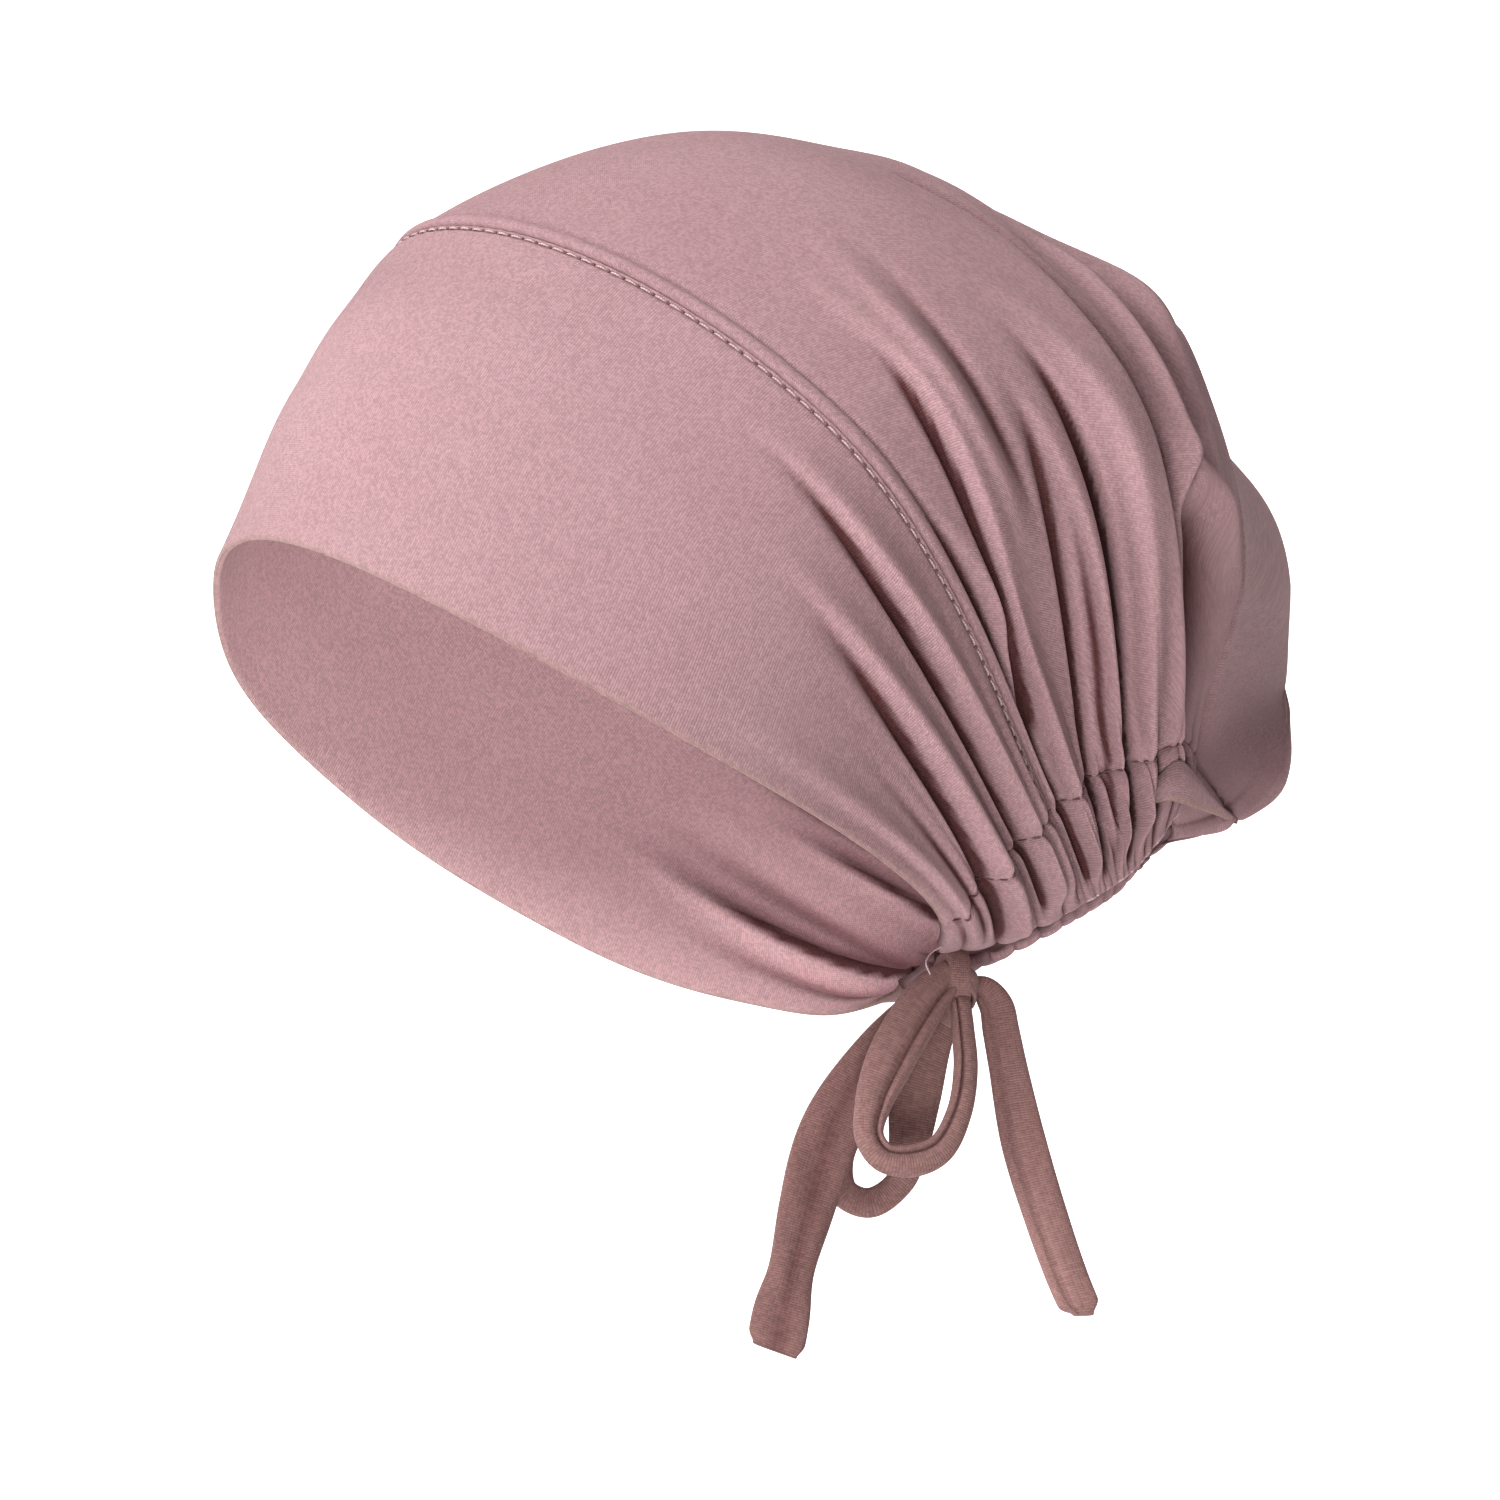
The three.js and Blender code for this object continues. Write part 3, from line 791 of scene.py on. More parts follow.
@dataclass(frozen=True)
class NapeCasing:
    """The stitched channel of cloth round the elastic, along both sides of the nape."""

    hood: Hood
    wall: float = 2.6
    rows: int = 760
    columns: int = 28
    swell: float = 0.8
    swell_from: float = 0.08
    edge_radius: float = 0.8

    def placed(self, row: Array, share: Array) -> tuple[Array, Array]:
        """Places along and over the hood: out along the near side and back along the far one."""
        s = np.where(row < 1, row, 2 - row)
        section = self.hood.section(s)
        near = section["near_casing"] * share
        far = 2 - section["far_casing"] * share
        return s, np.where(row <= 1, near, far)

    def point_at(self, row: Array, share: Array, depth: Array) -> Array:
        """Points of the casing: the gathered cloth, swollen between its two edges."""
        s, turn = self.placed(row, share)
        lift = self.swell * np.sin(np.pi * share) * smoothstep(0, self.swell_from, s)
        return self.hood.cloth(s, turn, lift - depth)

    def build(self) -> bpy.types.Object:
        """Make the casing's closed sheet, with both long edges rounded."""

        def tuck_at(row: Array, share: Array) -> Array:
            """Both long edges roll under."""
            across = run_length(self.hood.smooth(*self.placed(row, share)), 1)
            edge = np.minimum(across, across[:, [-1]] - across)
            return rounded_edge(edge, self.edge_radius)

        def extra(row: Array, share: Array) -> dict[str, Array]:
            """The gathers' mask of painted shade in valleys and painted highlight on crests."""
            return folded_values(self.hood, *self.placed(row, share))

        sheet = ClothSheet(
            wall=self.wall,
            rows=np.linspace(0, 2, self.rows + 1),
            columns=np.linspace(0, 1, self.columns + 1),
            point_at=self.point_at,
            tuck_at=tuck_at,
        )
        return sheet.mesh(extra).build("nape_casing_cloth")


@dataclass(frozen=True)
class HemFlap:
    """The end of the hem, turned up into a small flap behind the nape."""

    upper: tuple[tuple[float, float, float], ...] = (
        (15.5, 108.0, -158.6), (17.5, 111.6, -153.6), (17.5, 115.3, -150.6),
        (14.5, 119.1, -151.3), (5.0, 127.0, -155.0), (-10.0, 135.4, -154.6),
    )
    lower: tuple[tuple[float, float, float], ...] = (
        (15.0, 109.8, -161.0), (15.5, 113.6, -160.2), (13.5, 117.4, -160.0),
        (9.5, 122.0, -159.6), (1.5, 129.0, -158.2), (-10.0, 136.4, -155.8),
    )
    wall: float = 1.0
    bulge: float = 1.6
    depth_across: float = 9.0
    pale_edge: float = 1.4
    pale_width: float = 0.10
    steps: int = 60
    columns: int = 20

    def point_at(self, along: Array, down: Array, depth: Array) -> Array:
        """Points between the two edges, which bulge towards the near side as sin(pi v)."""
        at = np.linspace(0, 1, len(self.upper))
        top = curve_through(at, np.array(self.upper), along)
        foot = curve_through(at, np.array(self.lower), along)
        out = np.array([1.0, 0.0, 0.0])
        height = self.bulge * np.sin(np.pi * down) - depth
        return lerp(top, foot, down[..., None]) + out * height[..., None]

    def build(self) -> bpy.types.Object:
        """Make the flap's closed sheet; its lower edge is worn pale."""

        def tuck_at(along: Array, down: Array) -> Array:
            """Both long edges are rounded."""
            return rounded_edge(self.depth_across * np.minimum(down, 1 - down), self.wall / 2)

        def extra(along: Array, down: Array) -> dict[str, Array]:
            """The pale lower edge."""
            pale = self.pale_edge * bell(1 - down, self.pale_width)
            return {"edge": pale, "fold": np.zeros_like(down)}

        sheet = ClothSheet(
            wall=self.wall,
            rows=np.linspace(0, 1, self.steps + 1),
            columns=np.linspace(1, 0, self.columns + 1),
            point_at=self.point_at,
            tuck_at=tuck_at,
        )
        return sheet.mesh(extra).build("hem_flap")


@dataclass(frozen=True)
class Tube:
    """A closed tube of rings along a path, with flat caps."""

    rings: Array
    loop: bool = False

    def mesh(self, along: Array, round_it: Array) -> ClothMesh:
        """Join the rings of points into faces.

        Args:
            along: place of each ring on the cloth.
            round_it: place of each point of a ring on the cloth, one more than its points.

        Returns:
            The arrays of the closed tube.
        """
        n, k = self.rings.shape[:2]
        rows = n + 1 if self.loop else n
        corner = np.arange(rows * (k + 1)).reshape(rows, k + 1)
        ring, side = np.meshgrid(np.arange(rows) % n, np.arange(k + 1) % k, indexing="ij")
        points = self.rings[ring, side]
        merged = corner[ring, side]
        faces = [grid_faces(corner)]
        if not self.loop:
            i = np.arange(1, k // 2 - 1)
            for end, turned in ((corner[0], 1), (corner[-1], -1)):
                strip = np.stack([end[i], end[i + 1], end[k - i - 1], end[k - i]], axis=-1)
                tips = np.array([
                    [end[0], end[1], end[k - 1]],
                    [end[k // 2 - 1], end[k // 2], end[k // 2 + 1]],
                ])
                faces += [strip[:, ::turned], tips[:, ::turned]]
        uv = np.stack(np.meshgrid(along, round_it, indexing="ij"), axis=-1)
        return ClothMesh(
            points=points.reshape(-1, 3),
            faces=faces,
            uv=uv.reshape(-1, 2),
            merged=merged.ravel(),
            values=plain_values(corner.size),
        )


@dataclass(frozen=True)
class Strap:
    """A flat tube of jersey along a route, with its width mostly in the side view.

    The route's columns are x, y, z, width, thickness and twist in degrees. Fade above 0 makes the
    strap's cloth lighter, as painted light, and below 0 darker, as painted shade.
    """

    name: str
    route: tuple[tuple[float, ...], ...]
    rings: int = 120
    sides: int = 32
    round_share: float = 0.85
    groove: float = 0.0
    groove_at: float = 0.3
    groove_width: float = 0.13
    flatness: float = 0.62
    slant: float = 0.0
    pinch: float = 0.4
    # Painted light above 0 and painted shade below 0, over the whole strap.
    fade: float = 0.0
    wave: float = 0.0
    wave_rates: tuple[float, float] = (9.0, 23.0)
    wave_skew: float = 2.5
    wave_start: float = 1.3
    rounding: float = 0.0
    fullness: float = 0.8
    end_share: float = 0.03
    corner_from: float = 0.955
    slant_from: float = 0.8
    route_steps: int = 600

    def rows(self) -> Array:
        """The route's columns at each ring, evenly spaced along a smooth curve.

        The curve's own parameter grows with the square root of each chord.
        """
        table = np.array(self.route)
        chords = np.linalg.norm(np.diff(table[:, :3], axis=0), axis=1)
        at = np.concatenate([[0], np.cumsum(np.sqrt(chords))])
        fine = curve_through(at, table, np.linspace(0, at[-1], self.route_steps))
        length = run_length(fine[:, :3], 0)
        even = np.linspace(0, length[-1], self.rings)
        return np.stack([np.interp(even, length, column) for column in fine.T], axis=-1)

    def path(self) -> Array:
        """The centreline in metres."""
        return self.rows()[:, :3] * MM

    def length(self) -> float:
        """Length of the centreline in metres."""
        return float(run_length(self.path(), 0)[-1])

    def diameter(self) -> float:
        """A round cord's diameter for this strap, a share of its greatest width, in metres."""
        return max(row[3] for row in self.route) * self.round_share * MM

    def mesh(self) -> ClothMesh:
        """Carry the section along the route.

        The section is |cos|^p across the width and |sin|^p through the thickness, with a
        groove along one face where the flat tube folds into two lobes. Its thickness
        ripples as the product of two sines along the strap. At the free end it thins,
        its corners round off and its edge slants.

        Returns:
            The arrays of the strap.
        """
        rows = self.rows()
        centre, width, thickness, twist = rows[:, :3], rows[:, 3], rows[:, 4], np.radians(rows[:, 5])
        tangent = unit(np.gradient(centre, axis=0))
        sideways = np.array([1.0, 0.0, 0.0])
        face = unit(sideways - (tangent @ sideways)[:, None] * tangent)
        across = np.cross(tangent, face)
        turned_face = face * np.cos(twist)[:, None] + across * np.sin(twist)[:, None]
        turned_across = np.cross(tangent, turned_face)
        angle = full_turn(self.sides)
        a = np.sign(np.cos(angle)) * np.abs(np.cos(angle)) ** self.fullness
        b = np.sign(np.sin(angle)) * np.abs(np.sin(angle)) ** self.flatness
        share = np.linspace(0, 1, self.rings)[:, None]
        dent = 1 - self.groove * bell(a - self.groove_at, self.groove_width) * (b > 0)
        slow, fast = self.wave_rates
        slant_wave = self.wave * np.sin(slow * share + self.wave_skew * a)
        ripple = 1 + slant_wave * np.sin(fast * share + self.wave_start)
        ends = smoothstep(0, self.end_share, 1 - share) * (1 - self.pinch) + self.pinch
        corner = 1 - self.rounding * smoothstep(self.corner_from, 1.0, share) ** 2
        out = a * corner * width[:, None] / 2
        up = b * dent * ripple * ends * thickness[:, None] / 2
        forward = self.slant * a * smoothstep(self.slant_from, 1.0, share)
        rings = (
            centre[:, None]
            + turned_across[:, None] * out[..., None]
            + turned_face[:, None] * up[..., None]
            + tangent[:, None] * forward[..., None]
        )
        girth = 2 * float(width.mean())
        round_it = np.linspace(0, girth, self.sides + 1)
        cloth = Tube(rings).mesh(run_length(centre, 0), round_it)
        # The fold value paints shade in the groove, and the fade paints light above 0 and shade below 0.
        painted_light_and_shade = np.clip(self.fade + dent - 1, -1, 1)
        cloth.values["fold"] = np.tile(np.append(painted_light_and_shade, painted_light_and_shade[0]), self.rings)
        return cloth

    def build(self) -> bpy.types.Object:
        """Make the strap's object."""
        return self.mesh().build(self.name)


@dataclass(frozen=True)
class BowKnot:
    """The strap end wrapped round the bow's four straps, over a core of squeezed cloth.

    The core reaches up between the casing's two ends and holds them together.
    """

    centre: tuple[float, float, float] = (0.0, 66.4, -205.0)
    half_x: float = 8.2
    half_y: float = 2.7
    wrap_high: float = 6.6
    wrap_thick: float = 1.9
    wrap_crease: float = 0.16
    wrap_squeeze: float = 0.18
    rings: int = 96
    sides: int = 20
    core_rings: int = 28
    core_pole: float = 0.02
    core_crease: float = 0.08
    core: tuple[float, float, float] = (9.8, 4.6, 9.8)
    core_centre: tuple[float, float, float] = (0.0, 64.4, -203.8)

    def wrap(self) -> bpy.types.Object:
        """The wrap: a flat tube along a level ellipse, with soft creases across it."""
        turn = full_turn(self.rings)
        path = np.stack([
            self.half_x * np.cos(turn),
            self.half_y * np.sin(turn),
            np.zeros_like(turn),
        ], axis=-1)
        out = unit(np.stack([
            np.cos(turn) / self.half_x, np.sin(turn) / self.half_y, np.zeros_like(turn),
        ], axis=-1))
        ahead = unit(np.roll(path, -1, axis=0) - np.roll(path, 1, axis=0))
        high = unit(np.cross(ahead, out))
        angle = full_turn(self.sides)
        thick = self.wrap_thick / 2 * (1 + self.wrap_crease * np.cos(3 * angle)) * np.sin(angle)
        tall = self.wrap_high / 2 * np.cos(angle)
        squeeze = 1 - self.wrap_squeeze * np.cos(2 * turn)
        rings = (
            np.array(self.centre)
            + path[:, None]
            + out[:, None] * thick[:, None]
            + high[:, None] * (tall * squeeze[:, None])[..., None]
        )
        along = np.linspace(0, 2 * np.pi * self.half_x, self.rings + 1)
        round_it = np.linspace(0, 2 * self.wrap_high, self.sides + 1)
        return Tube(rings, loop=True).mesh(along, round_it).build("knot_wrap")

    def filling(self) -> bpy.types.Object:
        """The core: an ellipsoid of rings from its top down, with shallow creases."""
        climb = np.linspace(1 - self.core_pole, self.core_pole, self.core_rings) * np.pi
        angle = full_turn(self.sides)
        crease = 1 - self.core_crease * np.cos(5 * angle)
        radius = np.sin(climb)[:, None] * crease
        rings = np.stack([
            self.core[0] * radius * np.cos(angle),
            self.core[1] * radius * np.sin(angle),
            -self.core[2] * np.cos(climb)[:, None] * np.ones_like(angle),
        ], axis=-1) + np.array(self.core_centre)
        round_it = np.linspace(0, 2 * np.pi * self.core[1], self.sides + 1)
        return Tube(rings).mesh(run_length(rings[:, 0], 0), round_it).build("knot_core")


@dataclass(frozen=True)
class StitchRun:
    """A row of stitches: short threads that rise from one needle hole to the next."""

    name: str
    pitch: float = Panel.stitch_pitch
    length: float = 3.4
    offset: float = 0.0
    radius: float = 0.25
    arch: float = 0.46
    sink: float = 0.24
    tip: float = 0.02
    taper: float = 0.35
    steps: int = 8
    sides: int = 6

    def build(self, line: Array, normals: Array) -> bpy.types.Object:
        """Lay stitches along a line.

        A stitch follows the line and rises above it as arch * sin(pi u) - sink, and its
        radius narrows to its ends as sin(pi u)^taper.

        Args:
            line: points of the seam in millimetres.
            normals: outward normals of the cloth at them.

        Returns:
            The object with every stitch in one mesh.
        """
        length = run_length(line, 0)
        count = int((length[-1] - self.offset - self.length) // self.pitch)
        u = np.linspace(self.tip, 1 - self.tip, self.steps)
        at = (np.arange(count)[:, None] * self.pitch + self.offset + self.length * u).ravel()
        centre = np.stack([np.interp(at, length, c) for c in line.T], axis=-1)
        normal = unit(np.stack([np.interp(at, length, c) for c in normals.T], axis=-1))
        height = np.tile(self.arch * np.sin(np.pi * u) - self.sink, count)
        centre = (centre + normal * height[:, None]).reshape(count, self.steps, 3)
        normal = normal.reshape(count, self.steps, 3)
        ahead = unit(np.gradient(centre, axis=1))
        side = unit(np.cross(ahead, normal))
        up = np.cross(side, ahead)
        angle = full_turn(self.sides)
        size = self.radius * np.sin(np.pi * u) ** self.taper
        ring = size[:, None, None] * (
            side[:, :, None] * np.cos(angle)[:, None] + up[:, :, None] * np.sin(angle)[:, None]
        )
        points = (centre[:, :, None] + ring).reshape(-1, 3)
        corner = np.arange(len(points)).reshape(count, self.steps, self.sides)
        ahead_corner = np.roll(corner, -1, axis=2)
        skin = np.stack([
            corner[:, :-1], corner[:, 1:], ahead_corner[:, 1:], ahead_corner[:, :-1],
        ], axis=-1).reshape(-1, 4)
        caps = np.concatenate([corner[:, 0], corner[:, -1, ::-1]])
        uv = np.stack([np.repeat(at, self.sides), np.tile(angle, len(at))], axis=-1)
        return ClothMesh(
            points=points,
            faces=[skin, caps],
            uv=uv,
            merged=np.arange(len(points)),
            values=plain_values(len(points)),
        ).build(self.name)


@dataclass(frozen=True)
class Thread:
    """A thin round thread along points."""

    name: str
    radius: float = 0.28
    sides: int = 8
    unlike_run: tuple[float, float, float] = (0.31, 0.2, 0.93)

    def build(self, line: Array) -> bpy.types.Object:
        """Carry a circle along the line, with frames square to its run and to unlike_run."""
        ahead = unit(np.gradient(line, axis=0))
        side = unit(np.cross(ahead, np.array(self.unlike_run)))
        up = np.cross(side, ahead)
        angle = full_turn(self.sides)
        rings = line[:, None] + self.radius * (
            side[:, None] * np.cos(angle)[:, None] + up[:, None] * np.sin(angle)[:, None]
        )
        round_it = np.linspace(0, 2 * np.pi * self.radius, self.sides + 1)
        return Tube(rings).mesh(run_length(line, 0), round_it).build(self.name)


@dataclass(frozen=True)
class Stitching:
    """Where the stitches and the loose threads run over the cap."""

    hood: Hood
    seam_back: float = Panel.stitch_back
    seam_turns: tuple[float, float] = (0.118, 1.882)
    seam_points: int = 900
    seam_sunk: float = 0.25
    casing_run: tuple[float, float] = (0.04, 0.985)
    casing_points: int = 700
    casing_lift: float = 0.1
    elastic_run: tuple[float, float] = (0.36, 0.97)
    elastic_points: int = 160
    elastic_turn: float = 0.002
    elastic_sunk: float = 0.6
    elastic_waves: tuple[tuple[float, float], ...] = ((0.25, 60.0), (0.2, 131.0))
    tuft: tuple[tuple[float, float, float], ...] = (
        (10.2, 60.6, -197.4), (10.8, 57.6, -199.3), (12.4, 55.9, -201.6), (13.0, 55.5, -203.4),
        (12.2, 56.6, -205.4),
    )
    tuft_points: int = 24

    def band_seam(self) -> tuple[Array, Array]:
        """Points and normals of the topstitching, a little before the band seam."""
        turn = np.linspace(*self.seam_turns, self.seam_points)
        seam = np.full_like(turn, self.hood.band_seam)
        s = seam - self.seam_back / self.hood.stretch(seam, turn)
        return self.hood.cloth(s, turn, -self.seam_sunk), self.hood.normal(s, turn)

    def casing_seam(self, side: Side) -> tuple[Array, Array]:
        """Points and normals along the casing's upper edge on one side."""
        s = np.linspace(*self.casing_run, self.casing_points)
        row = self.hood.section(s)
        turn = row["near_casing"] if side is Side.NEAR else 2 - row["far_casing"]
        return self.hood.cloth(s, turn, self.casing_lift), self.hood.normal(s, turn)

    def elastic(self) -> Array:
        """Points of the bare thread on the casing's lower edge, wandering as two sines."""
        s = np.linspace(*self.elastic_run, self.elastic_points)
        turn = np.full_like(s, self.elastic_turn)
        wander = sum(height * np.sin(rate * s) for height, rate in self.elastic_waves)
        return self.hood.cloth(s, turn, wander - self.elastic_sunk)

    def loose_end(self) -> Array:
        """Points of the thread that sticks out of the casing beside the knot."""
        rows = np.array(self.tuft)
        at = np.linspace(0, 1, len(rows))
        return curve_through(at, rows, np.linspace(0, 1, self.tuft_points))


class Graph:
    """Short ways to add and join the nodes of a tree."""

    def __init__(self, tree: bpy.types.NodeTree) -> None:
        """Keep the tree and clear it."""
        self.tree = tree
        tree.nodes.clear()

    def node(self, kind: str, **settings: object) -> bpy.types.Node:
        """A new node with its settings."""
        node = self.tree.nodes.new(kind)
        for key, value in settings.items():
            setattr(node, key, value)
        return node

    def join(self, source: object, target: bpy.types.NodeSocket) -> None:
        """Link a socket, or set a constant, on the target socket."""
        if isinstance(source, bpy.types.NodeSocket):
            self.tree.links.new(source, target)
        else:
            target.default_value = source

    def fill(self, node: bpy.types.Node, values: dict[str, object]) -> None:
        """Give a node's inputs a socket or a constant each, by name."""
        for key, value in values.items():
            self.join(value, node.inputs[key])

    def surface(self, shader: bpy.types.Node) -> None:
        """Make a shader the material's surface."""
        out = self.node("ShaderNodeOutputMaterial")
        self.join(shader.outputs[0], out.inputs["Surface"])

    def math(self, operation: str, *values: object) -> bpy.types.NodeSocket:
        """The result of a maths node on sockets or numbers."""
        node = self.node("ShaderNodeMath", operation=operation)
        for socket, value in zip(node.inputs, values):
            self.join(value, socket)
        return node.outputs[0]

    def mix(self, blend: str, share: object, low: object, high: object) -> bpy.types.NodeSocket:
        """The colour that a colour mix gives."""
        node = self.node("ShaderNodeMix", data_type="RGBA", blend_type=blend)
        self.join(share, node.inputs["Factor"])
        self.join(low, node.inputs[6])
        self.join(high, node.inputs[7])
        return node.outputs[2]

    def noise(self, vector: object, scale: float, detail: float) -> bpy.types.NodeSocket:
        """The value of a noise texture."""
        node = self.node("ShaderNodeTexNoise")
        self.fill(node, {"Vector": vector, "Scale": scale, "Detail": detail})
        return node.outputs["Fac"]


def new_material(name: str) -> tuple[bpy.types.Material, Graph]:
    """A material without nodes yet, and the graph that takes them."""
    material = bpy.data.materials.new(name)
    material.use_nodes = True
    return material, Graph(material.node_tree)


def new_group(name: str, inputs: dict[str, object], outputs: dict[str, str]) -> bpy.types.NodeTree:
    """An empty shader node group with its sockets.

    Args:
        name: the group's name.
        inputs: default value of each input; a number, or a colour as four numbers, or None
            for a vector.
        outputs: socket type of each output.

    Returns:
        The group's tree.
    """
    tree = bpy.data.node_groups.new(name, "ShaderNodeTree")
    for key, value in inputs.items():
        if value is None:
            tree.interface.new_socket(name=key, in_out="INPUT", socket_type="NodeSocketVector")
            continue
        kind = "NodeSocketFloat" if isinstance(value, float) else "NodeSocketColor"
        socket = tree.interface.new_socket(name=key, in_out="INPUT", socket_type=kind)
        socket.default_value = value
    for key, kind in outputs.items():
        tree.interface.new_socket(name=key, in_out="OUTPUT", socket_type=kind)
    return tree


def knit_group() -> bpy.types.NodeTree:
    """Plain knit: columns of loops (wales) made of small slanted stitches.

    Across a wale the height is 1 - x^2. Along it the stitches follow a sine whose phase
    leads with |x|, so each loop is a small V. Every stitch has its own random shade.

    Returns:
        The group with the outputs Height and Shade.
    """
    tree = new_group(
        "jersey_knit",
        {"Cloth": None, "Wale": 0.00062, "Course": 0.0005},
        {"Height": "NodeSocketFloat", "Shade": "NodeSocketFloat"},
    )
    lead, loop_part, random_part = 0.5, 0.45, 0.45
    g = Graph(tree)
    given = g.node("NodeGroupInput")
    place = g.node("ShaderNodeSeparateXYZ")
    g.join(given.outputs["Cloth"], place.inputs[0])
    wale = g.math("DIVIDE", place.outputs[0], given.outputs["Wale"])
    side = g.math("ABSOLUTE", g.math("MULTIPLY_ADD", g.math("FRACT", wale), 2.0, -1.0))
    rib = g.math("SUBTRACT", 1.0, g.math("MULTIPLY", side, side))
    course = g.math("DIVIDE", place.outputs[1], given.outputs["Course"])
    stitch = g.math("MULTIPLY_ADD", side, lead, course)
    loop = g.math("MULTIPLY_ADD", g.math("SINE", g.math("MULTIPLY", stitch, 2 * np.pi)), 0.5, 0.5)
    height = g.math("MULTIPLY", rib, g.math("MULTIPLY_ADD", loop, loop_part, 1 - loop_part))
    cell = g.node("ShaderNodeCombineXYZ")
    g.join(g.math("FLOOR", wale), cell.inputs[0])
    g.join(g.math("FLOOR", stitch), cell.inputs[1])
    random = g.node("ShaderNodeTexWhiteNoise", noise_dimensions="2D")
    g.join(cell.outputs[0], random.inputs["Vector"])
    grain = random.outputs["Value"]
    by_height = g.math("MULTIPLY", height, 1 - random_part)
    shade = g.math("MULTIPLY_ADD", grain, random_part, by_height)
    out = g.node("NodeGroupOutput")
    g.fill(out, {"Height": height, "Shade": shade})
    return tree


@dataclass(frozen=True)
class ToneAmounts:
    """How much each effect changes the cloth's colour and roughness."""

    # valley_curve shapes the painted shade in valleys, and crest_light the painted highlight on crests.
    valley_curve: float = 1.5
    worn_edge: float = 0.55
    crest_light: float = 0.14
    mottle_scale: float = 22.0
    mottle_detail: float = 3.0
    mottle: float = 0.08
    mottle_saturation: float = -0.12
    saturation: float = 1.06
    grain_scale: float = 2600.0
    grain_detail: float = 1.0
    grain: float = 0.20
    stitch_gloss: float = -0.12
    roughness: float = 0.92


def tone_group(amounts: ToneAmounts) -> bpy.types.NodeTree:
    """The cloth's colour from its base, stitches, folds, worn edges and slow mottling.

    Painted shade tints a valley by its depth to the power valley_curve, and every other effect scales
    the colour's value by 1 + amount * (effect - its mean); among them the fold value, which adds painted
    highlight on crests and more painted shade in valleys. The inner face takes the Inner colour, lighter
    than the outer one as painted light.

    Args:
        amounts: how much each effect counts.

    Returns:
        The group with the outputs Color and Roughness.
    """
    tree = new_group(
        "cloth_tone",
        {
            "Base": (0.5, 0.3, 0.3, 1.0),
            "Inner": (0.5, 0.3, 0.3, 1.0),
            "Edge Colour": (0.4, 0.3, 0.25, 1.0),
            "Valley Painted Shade": (0.3, 0.15, 0.15, 1.0),
            "Place": None,
            "Shade": 0.5,
            "Contrast": 0.5,
            "Fold": 0.0,
            "Inside": 0.0,
            "Edge": 0.0,
        },
        {"Color": "NodeSocketColor", "Roughness": "NodeSocketFloat"},
    )
    g = Graph(tree)
    given = g.node("NodeGroupInput").outputs
    # Painted light: the inner face takes the lighter inner colour.
    colour = g.mix("MIX", given["Inside"], given["Base"], given["Inner"])
    # Painted shade: valleys are tinted towards the valley colour by their depth.
    valley = g.math("MAXIMUM", g.math("MULTIPLY", given["Fold"], -1.0), 0.0)
    valley = g.math("POWER", valley, amounts.valley_curve)
    colour = g.mix("MIX", valley, colour, given["Valley Painted Shade"])
    worn = g.math("MULTIPLY", given["Edge"], amounts.worn_edge)
    colour = g.mix("MIX", worn, colour, given["Edge Colour"])
    slow = g.noise(given["Place"], amounts.mottle_scale, amounts.mottle_detail)
    fine = g.noise(given["Place"], amounts.grain_scale, amounts.grain_detail)
    value = g.math("MULTIPLY_ADD", g.math("SUBTRACT", given["Shade"], 0.5), given["Contrast"], 1.0)
    value = g.math("MULTIPLY_ADD", g.math("SUBTRACT", slow, 0.5), amounts.mottle, value)
    # Painted highlight on crests and painted shade in valleys, by the fold value.
    value = g.math("MULTIPLY_ADD", given["Fold"], amounts.crest_light, value)
    value = g.math("MULTIPLY_ADD", g.math("SUBTRACT", fine, 0.5), amounts.grain, value)
    tune = g.node("ShaderNodeHueSaturation")
    saturation = g.math("MULTIPLY_ADD", slow, amounts.mottle_saturation, amounts.saturation)
    g.fill(tune, {"Color": colour, "Value": value, "Saturation": saturation})
    roughness = g.math("MULTIPLY_ADD", given["Shade"], amounts.stitch_gloss, amounts.roughness)
    out = g.node("NodeGroupOutput")
    g.fill(out, {"Color": tune.outputs[0], "Roughness": roughness})
    return tree


